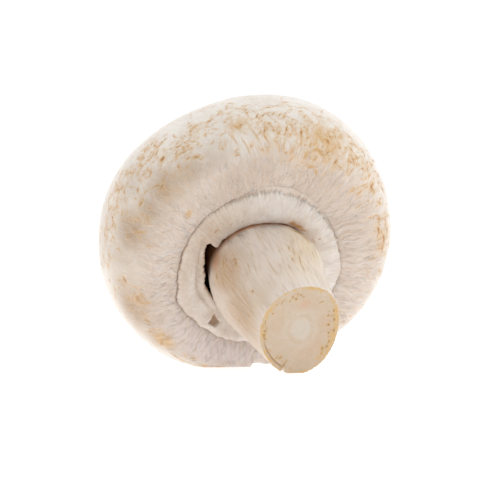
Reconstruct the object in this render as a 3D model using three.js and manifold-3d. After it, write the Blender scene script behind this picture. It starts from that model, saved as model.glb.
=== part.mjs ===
// A closed-cup white button mushroom, picked and trimmed, lying on its side.
//
// Millimetres, +Z up. The mushroom is modelled upright about its own axis: z = 0 is the level of the
// crease where the veil meets the cap's margin, the cap's crown is above it and the stem below.
// Angles run round that axis from +X towards +Y, in degrees. The whole mushroom is then laid down
// with its +Y side to the ground, so it rests on a pressed flat spot of the cap and on the cut stem.

import * as THREE from "three";
import { mergeVertices } from "three/addons/utils/BufferGeometryUtils.js";
import Module from "manifold-3d";

const wasm = await Module();
wasm.setup();

// Cap
const CAP_RADIUS = 22.1; // at its widest level, before the outline's unevenness
const CAP_WIDEST_LEVEL = 8.2;
const CAP_DOME_HEIGHT = 14.5; // from the widest level to the crown
const CAP_SQUARENESS = 2.15; // 2 is an ellipse, more is squarer
const CAP_OUTLINE = [
  { waves: 1, height: 0.103, crest: 289 }, // the whole cap sits off the stem's line
  { waves: 2, height: 0.045, crest: 348 },
  { waves: 3, height: 0.012, crest: 23 },
  { waves: 4, height: 0.014, crest: 28 },
];
const CAP_SAG = { at: 90, halfWidth: 55, height: 0.55 }; // the flank bulges where it is pressed
const CAP_SECTORS = 84;
const DOME_STEPS = 12;
const FLANK_STEPS = 8;

// Cap margin: the rim that rolls in under the cap, and the crease where it meets the veil
const MARGIN_RADIUS = 16.6; // at its lowest level
const MARGIN_LEVEL = -1.15;
const MARGIN_FOLLOW = 0.5; // how far the margin follows the cap's outline
const CREASE_RADIUS = 13.0;
const CREASE_LEVELS = { inner: 0.75, edge: 0.45 };
const CREASE_LIP = 0.4; // how far the crease's edge stands in from the wall behind it
const MARGIN_ROLL = [
  { out: 0.45, level: -0.1, follow: 0.05 },
  { out: 1.35, level: -0.75, follow: 0.2 },
  { out: 2.45, level: -1.08, follow: 0.35 },
];
const CREASE_OUTLINE = [
  { waves: 1, height: 0.012, crest: 52 },
  { waves: 3, height: 0.011, crest: 33 },
];

// Hollow under the cap, which holds the gills
const HOLLOW_FOLLOW = 0.2;
const HOLLOW = [
  [8.7, 10.25],
  [10.6, 9.85],
  [13.0, 9.05],
  [14.9, 7.8],
  [15.6, 6.2],
  [15.7, 4.4],
  [15.3, 2.8],
  [14.5, 1.5],
];
const FLESH_LEVEL = 10.6; // underside of the cap's flesh, over the stem

// Stem
const GAP = 0.33; // between neighbouring organs
const STEM_LENGTH = 20.1; // from the crease's level to the middle of the cut
const STEM_SIDE = [
  [10.25, 5.65],
  [6.4, 6.05],
  [3.5, 6.65],
  [1.3, 7.15],
  [-0.9, 7.65],
  [-2.9, 8.0],
  [-5.5, 8.2],
  [-9.7, 7.85],
  [-14.9, 7.25],
  [-18.4, 6.88],
  [-20.1, 6.68],
];
const STEM_STEPS = 15;
const STEM_OUTLINE = [{ waves: 1, height: 0.03, crest: 145 }];
const CUT_OUTLINE = [
  { waves: 2, height: 0.017, crest: 44 },
  { waves: 3, height: 0.03, crest: 77 },
];
const STEM_SECTORS = 60;
const STEM_BEND = { x: -0.25, y: 0.12 }; // of the cut's middle, off the mushroom's axis
const STEM_FLARE = { at: 318, halfWidth: 56, height: 0.85 }; // its skin swells to meet the veil
const STEM_FLARE_RISE = [-12, -5.5];
const STEM_FLARE_FALL = [0.2, 2];
const CUT_SLANT = 12.9;
const CUT_SLANT_TOWARDS = 312; // the side where the stem is shortest
const CUT_BEVEL = 0.25;
const CUT_RINGS = [0.5, 0.8]; // shares of the cut's radius
const SLANT_FROM = 8; // below the crease, where the cut's slant starts to show in the rings
const BEND_POWER = 2;

// Veil
const VEIL_SECTORS = 108;
const VEIL_LIP_LEVEL = -0.9; // where the veil comes nearest to the stem
const VEIL_SECTION = [
  { across: 0, level: -0.5, edge: 1 },
  { across: 0, level: 0.3, edge: 0.5 },
  { across: 0, level: 1.3, edge: 0, beyond: 0.85 },
  { across: 0, level: 1.75, edge: 0, beyond: 0.8 },
  { across: 0.3, level: 0.75, edge: 0 },
  { across: 0.7, level: 0.42, edge: 0 },
  { across: 0.96, level: 0.3, edge: 0 },
  { across: 1, level: -0.15, edge: 0, lip: 0.6 },
  { across: 0.96, level: -0.62, edge: 0, lip: 1 },
  { across: 0.8, level: -1.0, edge: 0, lip: 0.5 },
  { across: 0.5, level: -1.3, edge: 0.2 },
  { across: 0.22, level: -1.22, edge: 0.8 },
  { across: 0.05, level: -0.9, edge: 1 },
];
const VEIL_TEARS = [
  { at: 158, halfWidth: 48, height: 0.7, power: 1 }, // the long gap beside the stem
  { at: 201, halfWidth: 14, height: 2.0, power: 1 }, // and its wide upper end
];
const VEIL_LIP = { at: 150, halfWidth: 52, height: 0.35 }; // the torn lip curls out
const VEIL_EDGE = { at: 102, halfWidth: 40, height: 0.75 }; // the outer edge stands proud
const VEIL_HOLE = [
  { angle: 131, radius: 9.75 },
  { angle: 119, radius: 10.1 },
  { angle: 124, radius: 11.2 },
];
const HOLE_DEPTH = 6; // more than the veil is thick

// Gills: long blades from the stem to the margin, with a short one between each two
const GILL_PAIRS = 28;
const GILL_THICKNESS = 0.62;
const SHORT_GILL_FROM = 10.8; // a short blade's inner end
const GILL_COLUMNS = 4; // a blade's two faces, and the two feet of the gap that follows it
const GILL_FOOT = 1.15; // how much wider a blade is at its foot
const GILL_SECTION = [
  { radius: 8.3, blade: 4.2, plate: 9.0 },
  { radius: 9.8, blade: 2.8, plate: 8.75 },
  { radius: 11.6, blade: 2.1, plate: 8.3 },
  { radius: 13.2, blade: 2.6, plate: 7.75 },
  { radius: 14.3, blade: 4.4, plate: 7.0 },
  { radius: 14.5, blade: 7.35, plate: 7.35 },
  { radius: 12.6, blade: 8.7, plate: 8.7 },
  { radius: 8.6, blade: 9.8, plate: 9.8 },
];

// Lying on its side
const AXIS_DIP = 25.8; // of the stem, below the horizontal
const CREASE_HEIGHT = 15.45; // of the crease's centre, over the ground

const degrees = THREE.MathUtils.degToRad;

// A swell is highest at one angle, and dies away to nothing at half its width on either side.
function swell(angle, { at, halfWidth, height, power = 2 }) {
  const away = Math.abs(THREE.MathUtils.euclideanModulo(angle - at + 180, 360) - 180);
  return away < halfWidth ? height * Math.cos((away / halfWidth) * (Math.PI / 2)) ** power : 0;
}

// How much wider than round an uneven outline is at an angle: 1 is round.
function unevenness(outline, angle) {
  const part = ({ waves, height, crest }) => height * Math.cos(degrees(waves * (angle - crest)));
  return outline.reduce((sum, wave) => sum + part(wave), 1);
}

// A closed body turned round the axis. Each ring of its section is put in place by the function
// `place`, which takes the ring, the angle and the column and gives a radius, an angle and a level.
// A section that doesn't start and end on the axis closes on itself.
function turned(section, sectors, place) {
  const onAxis = section[0].radius === 0;
  const rings = onAxis ? section : [...section, section[0]];
  const outline = rings.map(() => new THREE.Vector2(1, 0));
  const geometry = new THREE.LatheGeometry(outline, sectors);
  const position = geometry.getAttribute("position");
  for (let i = 0; i < position.count; i++) {
    const column = Math.floor(i / rings.length) % sectors;
    const spot = place(rings[i % rings.length], (360 * column) / sectors, column);
    const turn = degrees(spot.angle);
    const x = spot.radius * Math.cos(turn) + (spot.x ?? 0);
    const y = spot.radius * Math.sin(turn) + (spot.y ?? 0);
    position.setXYZ(i, x, y, spot.level);
  }
  return geometry;
}

// The same geometry as a solid that can be joined or cut, and back.
function solidOf(geometry) {
  const bare = new THREE.BufferGeometry();
  bare.setAttribute("position", geometry.getAttribute("position"));
  bare.setIndex(geometry.index);
  const merged = mergeVertices(bare);
  return new wasm.Manifold(
    new wasm.Mesh({
      numProp: 3,
      vertProperties: merged.getAttribute("position").array,
      triVerts: new Uint32Array(merged.index.array),
    }),
  );
}

function geometryOf(solid) {
  const { vertProperties, triVerts } = solid.getMesh();
  const geometry = new THREE.BufferGeometry();
  geometry.setAttribute("position", new THREE.BufferAttribute(vertProperties, 3));
  geometry.setIndex(new THREE.BufferAttribute(triVerts, 1));
  geometry.computeVertexNormals();
  return geometry;
}

// The group that lays the mushroom down, and the ground under it in the mushroom's own frame.
const mushroom = new THREE.Group();
mushroom.rotation.x = -degrees(90 - AXIS_DIP);
mushroom.position.z = CREASE_HEIGHT;
mushroom.updateMatrix();

const GROUND_SIZE = 200;
const ground = new THREE.BoxGeometry(GROUND_SIZE, GROUND_SIZE, GROUND_SIZE);
ground.translate(0, 0, -GROUND_SIZE / 2);
ground.applyMatrix4(mushroom.matrix.clone().invert());
const groundSolid = solidOf(ground);

// What lies on the ground is pressed flat where it touches.
function pressedFlat(geometry) {
  return geometryOf(solidOf(geometry).subtract(groundSolid));
}

function addOrgan(name, geometry, color, roughness) {
  const material = new THREE.MeshStandardMaterial({ color, roughness, metalness: 0 });
  const mesh = new THREE.Mesh(geometry, material);
  mesh.name = name;
  mushroom.add(mesh);
}

const creaseRadius = (angle) => CREASE_RADIUS * unevenness(CREASE_OUTLINE, angle);

// Cap: a dome on rounded flanks, whose margin rolls in to the crease, and the hollow inside it.
function capSection() {
  const bulge = 2 / CAP_SQUARENESS;
  const section = [{ radius: 0, level: FLESH_LEVEL, follow: 0 }];
  for (const [radius, level] of HOLLOW) {
    section.push({ radius, level, follow: HOLLOW_FOLLOW });
  }
  section.push({ radius: CREASE_RADIUS + CREASE_LIP, level: CREASE_LEVELS.inner, follow: 0 });
  section.push({ radius: CREASE_RADIUS, level: CREASE_LEVELS.edge, follow: 0, crease: true });
  for (const { out, level, follow } of MARGIN_ROLL) {
    section.push({ radius: CREASE_RADIUS + out, level, follow });
  }
  for (let step = FLANK_STEPS; step > 0; step--) {
    const turn = (step / FLANK_STEPS) * (Math.PI / 2);
    const out = Math.cos(turn) ** bulge;
    const radius = MARGIN_RADIUS + (CAP_RADIUS - MARGIN_RADIUS) * out;
    const follow = (CAP_RADIUS * out + MARGIN_FOLLOW * MARGIN_RADIUS * (1 - out)) / radius;
    const drop = (CAP_WIDEST_LEVEL - MARGIN_LEVEL) * Math.sin(turn) ** bulge;
    section.push({ radius, level: CAP_WIDEST_LEVEL - drop, follow });
  }
  for (let step = DOME_STEPS; step > 0; step--) {
    const turn = (step / DOME_STEPS) * (Math.PI / 2);
    const radius = CAP_RADIUS * Math.sin(turn) ** bulge;
    const level = CAP_WIDEST_LEVEL + CAP_DOME_HEIGHT * Math.max(0, Math.cos(turn)) ** bulge;
    section.push({ radius, level, follow: 1 });
  }
  section.push({ radius: 0, level: CAP_WIDEST_LEVEL + CAP_DOME_HEIGHT, follow: 0 });
  return section;
}

const cap = turned(capSection(), CAP_SECTORS, (ring, angle) => {
  const stretch = 1 + ring.follow * (unevenness(CAP_OUTLINE, angle) - 1);
  const sag = ring.follow * swell(angle, CAP_SAG);
  const radius = ring.crease ? creaseRadius(angle) : ring.radius * stretch + sag;
  return { radius, angle, level: ring.level };
});
addOrgan("cap", pressedFlat(cap), 0xf1e6d8, 0.7);

// Stem: a barrel that narrows to a slanting cut, with a swelling where its skin reaches the veil.
const { smoothstep, mapLinear, lerp } = THREE.MathUtils;
const stemSide = new THREE.SplineCurve(STEM_SIDE.map((spot) => new THREE.Vector2(...spot)));
const stemTable = stemSide.getPoints(STEM_SIDE.length * 4);

function stemRadius(angle, level) {
  const next = Math.max(1, stemTable.findIndex((spot) => spot.x <= level + 1e-6));
  const [high, low] = [stemTable[next - 1], stemTable[next]];
  const side = mapLinear(level, high.x, low.x, high.y, low.y);
  const nearCut = smoothstep(-level, SLANT_FROM, STEM_LENGTH);
  const stretch = unevenness(STEM_OUTLINE, angle) + nearCut * (unevenness(CUT_OUTLINE, angle) - 1);
  const reach = smoothstep(level, ...STEM_FLARE_RISE) * (1 - smoothstep(level, ...STEM_FLARE_FALL));
  return side * stretch + reach * swell(angle, STEM_FLARE);
}

function stemSection() {
  const section = [{ radius: 0, level: -STEM_LENGTH, slant: 1 }];
  for (const inwards of [...CUT_RINGS, 1 - CUT_BEVEL / STEM_SIDE.at(-1)[1]]) {
    section.push({ inwards, level: -STEM_LENGTH, slant: 1 });
  }
  for (let step = STEM_STEPS; step >= 0; step--) {
    const level = Math.max(stemSide.getPoint(step / STEM_STEPS).x, CUT_BEVEL - STEM_LENGTH);
    section.push({ inwards: 1, level, slant: smoothstep(-level, SLANT_FROM, STEM_LENGTH) });
  }
  section.push({ radius: 0, level: STEM_SIDE[0][0], slant: 0 });
  return section;
}

const stem = turned(stemSection(), STEM_SECTORS, (ring, angle) => {
  const radius = ring.radius ?? ring.inwards * stemRadius(angle, ring.level);
  const bend = Math.max(0, -ring.level / STEM_LENGTH) ** BEND_POWER;
  const rise = radius * Math.cos(degrees(angle - CUT_SLANT_TOWARDS));
  const level = ring.level + ring.slant * rise * Math.tan(degrees(CUT_SLANT));
  return { radius, angle, level, x: STEM_BEND.x * bend, y: STEM_BEND.y * bend };
});
addOrgan("stem", pressedFlat(stem), 0xeadcc6, 0.75);

// Veil: a soft rounded ring from the crease to the stem, torn free along one side of the stem.
const veil = turned(VEIL_SECTION, VEIL_SECTORS, (ring, angle) => {
  const tear = Math.max(...VEIL_TEARS.map((gap) => swell(angle, gap)));
  const outer = creaseRadius(angle) - GAP;
  const inner = stemRadius(angle, VEIL_LIP_LEVEL) + GAP + tear;
  const proud = ring.edge * swell(angle, VEIL_EDGE) + (ring.lip ?? 0) * swell(angle, VEIL_LIP);
  const radius = lerp(outer, inner, ring.across) + (ring.beyond ?? 0);
  return { radius, angle, level: ring.level - proud };
});

function veilHole() {
  const corners = VEIL_HOLE.map(
    ({ angle, radius }) =>
      new THREE.Vector2(radius * Math.cos(degrees(angle)), radius * Math.sin(degrees(angle))),
  );
  const outline = new THREE.Shape(corners);
  const prism = new THREE.ExtrudeGeometry(outline, { depth: HOLE_DEPTH, bevelEnabled: false });
  return prism.translate(0, 0, -HOLE_DEPTH / 2);
}
const tornVeil = solidOf(veil).subtract(solidOf(veilHole()));
addOrgan("veil", geometryOf(tornVeil), 0xf2e8dc, 0.8);

// Gills: blades of one thickness that hang from a thin plate under the cap's flesh.
const GILL_PITCH = 360 / (2 * GILL_PAIRS);
const gills = turned(GILL_SECTION, 2 * GILL_PAIRS * GILL_COLUMNS, (ring, _, column) => {
  const gill = Math.floor(column / GILL_COLUMNS);
  const face = column % GILL_COLUMNS;
  const half = THREE.MathUtils.radToDeg(GILL_THICKNESS / 2 / ring.radius);
  const offset = [-half, half, half * GILL_FOOT, GILL_PITCH - half * GILL_FOOT][face];
  const tooShort = gill % 2 === 1 && ring.radius < SHORT_GILL_FROM;
  const level = face < 2 && !tooShort ? ring.blade : ring.plate;
  return { radius: ring.radius, angle: gill * GILL_PITCH + offset, level };
});
addOrgan("gills", gills, 0xb08a78, 0.8);

// The part stands on its lowest level, with the origin under the middle of its box.
const part = new THREE.Group();
part.add(mushroom);
const box = new THREE.Box3().setFromObject(part, true);
mushroom.position.x -= (box.min.x + box.max.x) / 2;
mushroom.position.y -= (box.min.y + box.max.y) / 2;

export default part;
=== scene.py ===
import math

import bpy
import numpy as np
from mathutils import Matrix, Vector, noise


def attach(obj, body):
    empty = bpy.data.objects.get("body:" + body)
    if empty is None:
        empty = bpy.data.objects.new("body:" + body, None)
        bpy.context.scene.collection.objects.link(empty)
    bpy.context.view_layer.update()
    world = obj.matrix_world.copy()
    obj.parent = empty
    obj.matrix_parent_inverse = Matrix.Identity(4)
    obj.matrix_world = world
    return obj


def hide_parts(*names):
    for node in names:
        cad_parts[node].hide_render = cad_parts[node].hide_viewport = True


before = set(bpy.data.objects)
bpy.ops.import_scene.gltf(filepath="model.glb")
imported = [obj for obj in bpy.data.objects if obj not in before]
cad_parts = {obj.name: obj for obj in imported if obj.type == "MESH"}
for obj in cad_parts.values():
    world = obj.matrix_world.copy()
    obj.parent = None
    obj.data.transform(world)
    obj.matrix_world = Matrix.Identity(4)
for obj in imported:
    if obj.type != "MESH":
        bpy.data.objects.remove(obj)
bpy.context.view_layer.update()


# Cap: one body of white flesh with a thin skin. A dome sits on rounded flanks, whose margin rolls in
# to the crease, with the hollow that holds the gills behind it. The margin is felted and drawn into
# fine radial folds, and fibrils of the skin have dried to ochre flecks round the outer flank.
#
# The mushroom lies on its side, on the pressed flank of the cap and on the lower edge of the cut
# stem. Every organ is shaped about the mushroom's own axis, in mm, with level 0 at the crease and
# the crown upwards, and laid_down() then lays it on the ground, in m.
MM = 0.001
AXIS_DIP = math.radians(25.8)
CREASE_CENTRE = Vector((-0.805, -1.639, 15.45)) * MM
CAP_RADIUS = 22.1
CAP_WIDEST_LEVEL = 8.2
CAP_DOME_HEIGHT = 14.5
CAP_SQUARENESS = 2.15
CAP_OUTLINE = [(1, 0.103, 289), (2, 0.045, 348), (3, 0.012, 23), (4, 0.014, 28)]
CAP_SAG = {"at": 90, "half_width": 55, "height": 0.55}
MARGIN_RADIUS = 16.6
MARGIN_LEVEL = -1.15
MARGIN_FOLLOW = 0.5
CREASE_RADIUS = 13.0
CREASE_LEVEL = 0.45
# The crease's radius at each angle, where the veil's rim meets the margin.
CREASE_AT = [
    (0, 13.6), (20, 13.6), (40, 13.3), (60, 12.9), (75, 12.4), (89, 12.25), (107, 12.2), (122, 12.15),
    (136, 12.5), (147, 13.0), (157, 13.55), (165, 13.0), (180, 12.9), (198, 13.05), (216, 13.2),
    (228, 12.9), (245, 12.67), (268, 12.8), (284, 12.7), (298, 12.55), (315, 12.55), (327, 12.65),
    (340, 12.9), (351, 13.2),
]
CREASE_WAVER = [(23, 0.05, 0), (61, 0.025, 50), (97, 0.02, 120), (143, 0.02, 10)]
# The margin is pinched in and down against the veil, except where the crease gapes and where it lies
# loose. The crease is painted with shade, tan, and brown along one side.
CREASE_PINCH = {"in": 0.3, "down": 0.72}
CREASE_OPEN = {"at": 284, "half_width": 76}
CREASE_LOOSE = {"at": 100, "half_width": 44, "height": 0.7}
CREASE_BROWNED = {"at": 182, "half_width": 58}
CAP_SECTORS = 720
CAP_SPACING = {"hollow": 2.4, "margin": 0.25, "flank": 0.28, "dome": 0.55}
# (radius, level, how far it follows the outline, how far it follows the crease)
HOLLOW = [
    (0, 10.6, 0, 0), (8.7, 10.25, 0.2, 0), (10.6, 9.85, 0.2, 0), (13.0, 9.05, 0.2, 0),
    (14.9, 7.8, 0.2, 0), (15.6, 6.2, 0.2, 0), (15.7, 4.4, 0.2, 0), (15.3, 2.8, 0.2, 0),
    (14.5, 1.5, 0.2, 0.3),
]
MARGIN_ROLL = [
    (13.4, 0.95, 0, 0.8), (12.95, 0.45, 0, 1), (13.45, -0.2, 0.05, 0.9), (14.35, -0.75, 0.2, 0.5),
    (15.45, -1.08, 0.35, 0.2),
]
FLANK_STEPS = 8
DOME_STEPS = 12
# Relief of the skin: the size of its lumps in mm, or their size round and along the grain, and their
# height. Four levels say where a band starts, is full, starts to fade and is gone.
UNEVEN = {"size": 7.0, "octaves": 2, "height": 0.16}
FOLDS = {"size": (1.3, 6.0), "octaves": 2}
FOLD_SHAPE = {"crest": 0.35, "valley": 1.3, "height": 0.19, "least": 0.2}
FOLD_BAND = (0.0, 1.6, 5.5, 10.0)
FELT = {"size": (0.42, 1.8), "octaves": 2, "height": 0.022}
FELT_FADES = {"share": 0.7, "between": (8, 14)}
RELIEF_STARTS = (-0.6, 0.2)
GRAIN_WAVER = {"size": 2.4, "octaves": 2, "height": 2.2}
# Where the margin is drawn into wrinkles, each (angle, mm from the crease, half width round, half
# width along, strength).
WRINKLES = [
    (340, 4.0, 9.0, 3.6, 1.0), (308, 2.6, 4.0, 2.2, 0.7), (88, 4.2, 7.0, 3.2, 1.4),
    (140, 4.0, 5.0, 3.0, 0.9),
]
# The rim was nicked where the cap lies: a band of angles across the nick, and one up the flank.
NICK = {"depth": 0.75, "across": (74, 78, 82.8, 84), "up": (2.2, 3.6, 9.0, 11.0)}
# Marks on the skin, each (angle, mm from the crease, length, width, heading, strength), where a mark
# of heading 0 points to the crown and one of heading 90 runs round the cap.
SKIN_MARKS = [
    (280, 9.0, 1.9, 0.42, 8, 1.0), (283, 6.0, 1.4, 0.8, 25, 0.8), (287, 6.9, 1.5, 0.5, 60, 0.8),
    (290, 6.7, 2.2, 0.65, 112, 0.85), (292, 8.6, 1.3, 0.6, 130, 1.0), (288, 8.9, 1.9, 0.3, 125, 0.7),
    (298, 6.4, 1.2, 0.4, 10, 1.0), (301, 6.1, 1.6, 0.3, 95, 0.7), (287, 4.7, 1.4, 0.4, 85, 0.8),
    (291, 4.3, 1.3, 0.45, 130, 0.7), (298, 8.4, 0.6, 0.4, 90, 0.9), (301, 8.9, 0.6, 0.4, 90, 0.8),
    (304, 9.3, 1.3, 0.35, 115, 0.9), (306, 8.0, 1.3, 0.4, 120, 0.9), (309, 8.0, 1.2, 0.4, 75, 0.7),
    (317, 8.3, 1.2, 0.5, 20, 0.8), (321, 7.6, 1.5, 0.7, 165, 1.0), (323, 7.5, 1.1, 0.7, 100, 0.9),
    (317, 6.6, 2.1, 0.3, 40, 0.6), (328, 9.8, 1.6, 0.5, 80, 1.0), (330, 7.6, 1.4, 0.7, 60, 0.8),
    (336, 6.6, 1.2, 0.5, 60, 0.9), (341, 6.2, 1.8, 0.6, 85, 1.0), (347, 7.1, 2.6, 0.7, 88, 1.0),
    (351, 6.8, 1.5, 0.6, 95, 1.0), (344, 8.2, 1.4, 0.5, 80, 1.0), (339, 8.0, 1.3, 0.5, 100, 0.9),
    (314, 5.0, 1.3, 0.8, 20, 0.6), (307, 4.1, 1.2, 0.3, 0, 0.5), (276, 10.2, 1.2, 0.3, 140, 0.8),
    (278, 11.4, 1.3, 0.25, 120, 0.6), (266, 11.0, 1.0, 0.4, 30, 0.6), (272, 6.9, 1.5, 0.3, 10, 0.6),
    (274, 8.6, 1.6, 0.3, 25, 0.5), (265, 6.7, 1.4, 0.3, 0, 0.6), (257, 11.6, 0.8, 0.6, 60, 0.9),
    (261, 9.2, 2.6, 0.35, 165, 0.6), (256, 7.9, 3.4, 0.3, 170, 0.5), (252, 9.7, 3.0, 0.3, 165, 0.5),
    (255, 11.5, 1.6, 0.6, 155, 0.8), (251, 7.0, 0.8, 0.4, 100, 0.7), (270, 6.8, 1.6, 0.4, 0, 0.5),
    (280, 7.6, 1.7, 0.7, 20, 0.6), (276, 6.4, 1.5, 0.8, 30, 0.6), (224, 12.8, 1.5, 0.9, 60, 1.0),
    (217, 9.2, 1.3, 0.5, 72, 1.0), (216, 7.6, 1.2, 0.25, 170, 0.5), (233, 12.0, 1.0, 0.6, 45, 0.8),
    (235, 11.9, 0.9, 0.7, 60, 0.7), (232, 11.3, 1.3, 0.4, 95, 0.9), (229, 11.4, 1.0, 0.4, 80, 0.7),
    (235, 9.5, 1.3, 0.6, 110, 0.9), (239, 14.5, 0.7, 0.6, 80, 0.9), (241, 15.0, 2.3, 0.7, 75, 0.7),
    (247, 14.8, 1.2, 0.5, 80, 1.0), (243, 12.3, 1.0, 0.5, 30, 0.6), (248, 9.3, 1.4, 0.5, 20, 0.4),
    (216, 15.5, 1.2, 0.5, 60, 0.8), (212, 15.4, 0.8, 0.6, 70, 0.8), (209, 12.1, 0.7, 0.5, 40, 0.9),
    (208, 13.6, 1.4, 0.25, 150, 0.7), (206, 10.2, 1.0, 0.6, 100, 0.9), (198, 14.4, 1.0, 0.6, 70, 0.8),
    (193, 14.5, 0.6, 0.5, 90, 1.0), (203, 8.0, 0.9, 0.4, 10, 0.7), (196, 11.4, 1.7, 0.25, 150, 0.7),
    (191, 9.8, 0.5, 0.4, 90, 0.9), (196, 8.1, 1.9, 0.4, 150, 0.8), (201, 7.4, 1.3, 0.3, 150, 0.6),
    (216, 3.4, 1.0, 0.7, 60, 0.5), (172, 9.2, 1.4, 0.5, 60, 1.0), (167, 13.4, 0.6, 0.5, 90, 1.0),
    (163, 8.9, 0.9, 0.7, 80, 0.8), (164, 7.2, 1.5, 0.9, 95, 0.9), (166, 6.4, 1.0, 0.4, 60, 0.6),
    (162, 6.3, 1.2, 0.7, 90, 0.5), (151, 6.8, 1.1, 0.5, 60, 0.8), (139, 6.2, 0.8, 0.5, 30, 0.7),
    (134, 6.0, 1.5, 0.3, 10, 0.6), (125, 7.4, 2.2, 0.4, 95, 1.0), (119, 7.5, 2.2, 0.4, 90, 0.7),
    (109, 6.3, 1.0, 0.5, 95, 0.8), (102, 6.1, 1.2, 0.4, 90, 0.7),
]
# Fields of small dried fibrils, each (angle, mm from the crease, half width round in mm, half width
# along, how many).
FLECK_FIELDS = [
    (285, 8.8, 6.0, 2.8, 125), (264, 10.5, 3.6, 2.6, 46), (318, 8.4, 4.4, 2.4, 66),
    (345, 7.4, 3.4, 1.6, 40), (198, 10.0, 4.0, 3.0, 24), (163, 8.6, 3.6, 2.2, 20),
    (138, 7.0, 3.0, 1.4, 26), (112, 7.2, 3.4, 1.2, 17), (60, 9.0, 10.0, 3.0, 59), (20, 9.6, 7.0, 3.0, 53),
]
# Fields higher on the flank, where the fibrils run round the cap.
HIGH_FIELDS = [
    (232, 12.2, 4.0, 2.0, 40), (213, 14.2, 4.0, 2.2, 44), (178, 14.0, 4.0, 2.6, 24),
    (222, 9.6, 4.0, 1.2, 16), (221, 16.6, 4.5, 1.6, 34), (208, 16.8, 4.5, 1.8, 36),
    (195, 15.4, 4.0, 2.2, 34), (184, 14.8, 3.5, 2.0, 20), (238, 14.6, 4.0, 1.6, 26),
    (256, 15.2, 4.0, 1.8, 22), (270, 14.4, 5.0, 1.8, 16), (290, 13.0, 5.0, 1.8, 16),
    (306, 11.2, 3.5, 1.8, 24),
]
# One wide field over the crown.
CROWN_FLECKS = (0, 22, 90, 9, 300)
FLECK_LENGTH = (0.3, 1.3)
FLECK_WIDTH = (0.1, 0.42)
# Soft tan stains, with some painted shade on the left flank, each (angle, mm from the crease, half width
# round, half width along, strength).
STAINS = [
    (291, 8.6, 5.5, 3.8, 0.75), (268, 8.8, 5.0, 3.2, 0.35), (258, 11.8, 2.4, 2.2, 0.7),
    (280, 5.6, 7.0, 1.6, 0.3), (199, 9.0, 2.6, 2.4, 0.3), (222, 7.6, 4.0, 2.2, 0.4),
    (137, 6.2, 1.8, 1.3, 1.0), (216, 3.5, 0.9, 0.6, 0.8), (318, 7.4, 3.4, 2.2, 0.4),
    (347, 7.4, 4.0, 2.0, 0.5), (163, 7.2, 1.8, 1.4, 0.4), (240, 14.8, 2.0, 1.2, 0.4),
    (150, 15.0, 5.0, 3.5, 0.3), (50, 12.0, 7.0, 3.0, 0.5), (20, 9.0, 4.0, 2.0, 0.4),
    (330, 26.0, 5.0, 5.0, 0.3), (120, 28.0, 5.0, 5.0, 0.3),
]
# Darker tan stains that also paint shade, on the left flank, above the crease and low on the margin, each
# as above.
DUSKY_STAINS = [
    (194, 9.4, 4.0, 3.4, 1.0), (206, 8.4, 3.0, 2.6, 0.9), (182, 10.2, 4.0, 3.6, 0.6),
    (217, 8.8, 3.6, 2.8, 0.95), (229, 8.2, 3.6, 2.2, 0.8), (240, 8.0, 4.0, 2.4, 0.5),
    (168, 9.4, 4.0, 3.2, 0.7), (158, 8.8, 5.0, 3.4, 1.0), (142, 7.6, 3.0, 2.4, 0.6),
    (186, 15.5, 5.0, 4.0, 0.35), (207, 13.4, 4.0, 3.0, 0.45), (352, 8.0, 8.0, 4.0, 0.35),
    (255, 3.6, 8.0, 3.0, 0.5), (290, 3.4, 7.0, 2.6, 0.4), (330, 3.4, 6.0, 2.2, 0.3),
    (60, 10.0, 8.0, 4.0, 0.35),
]
# Where the felt of the margin is thick and pale, and painted paler as painted light from below, each as a
# stain.
BLOOM = [(112, 3.0, 7.0, 2.6, 0.7), (88, 3.4, 5.0, 2.6, 0.6), (136, 3.0, 4.0, 2.0, 0.5)]
MARK_BEND = 0.07
MARK_REACH = 1.2
MARK_EDGE = 0.55
NO_MARK = (9.0, 9.0, 0.0)
NO_MARK_NEAR = 12.0
# Strewn marks keep this far, in half widths, from the listed ones.
LISTED_MARK_CLEAR = 1.7
FIELD_SPREAD = 0.7
FIELD_FALL = 0.8


def laid_down(spots):
    """Points about the mushroom's axis, in mm, moved to where it lies, in m, pressed on the ground."""
    turn = np.array(Matrix.Rotation(AXIS_DIP - math.pi / 2, 3, "X"))
    world = spots * MM @ turn.T + np.array(CREASE_CENTRE)
    world[:, 2] = np.maximum(world[:, 2], 0)
    return world


def ease(value, low, high):
    """0 below low, 1 above high, and smooth between them."""
    share = np.clip((value - low) / (high - low), 0, 1)
    return share * share * (3 - 2 * share)


def band(value, starts, full, fades, gone):
    """1 between full and fades, 0 before starts and after gone, and smooth between them."""
    return ease(value, starts, full) * (1 - ease(value, fades, gone))


def turn_from(angle, at):
    """The turn from one angle to another, from -180 to 180 degrees."""
    return (angle - at + 180) % 360 - 180


def swell(angle, at, half_width, height=1.0, power=2.0):
    """A hump round one angle, in degrees, which dies away at half its width on either side."""
    away = np.abs(turn_from(angle, at))
    return height * np.cos(np.minimum(away / half_width, 1) * math.pi / 2) ** power


def unevenness(outline, angle):
    """How much wider than round an outline is: the sum of its waves, each (count, height, crest)."""
    return 1 + sum(h * np.cos(np.radians(n * (angle - crest))) for n, h, crest in outline)


def flowing(knots, spacing):
    """A smooth line through rows of numbers that start with a radius and a level."""
    knots = np.array(knots, float)
    spacing = np.broadcast_to(spacing, len(knots))
    line = []
    for i in range(len(knots) - 1):
        before, a, b = knots[max(i - 1, 0)], knots[i], knots[i + 1]
        after = knots[min(i + 2, len(knots) - 1)]
        steps = max(1, round(float(np.hypot(*(b - a)[:2])) / spacing[i]))
        for t in np.arange(steps) / steps:
            bend = -t * (1 - t) ** 2 * before + (2 - 5 * t * t + 3 * t ** 3) * a
            bend += t * (1 + 4 * t - 3 * t * t) * b - t * t * (1 - t) * after
            line.append(bend / 2)
    line.append(knots[-1])
    return np.array(line)


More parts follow.
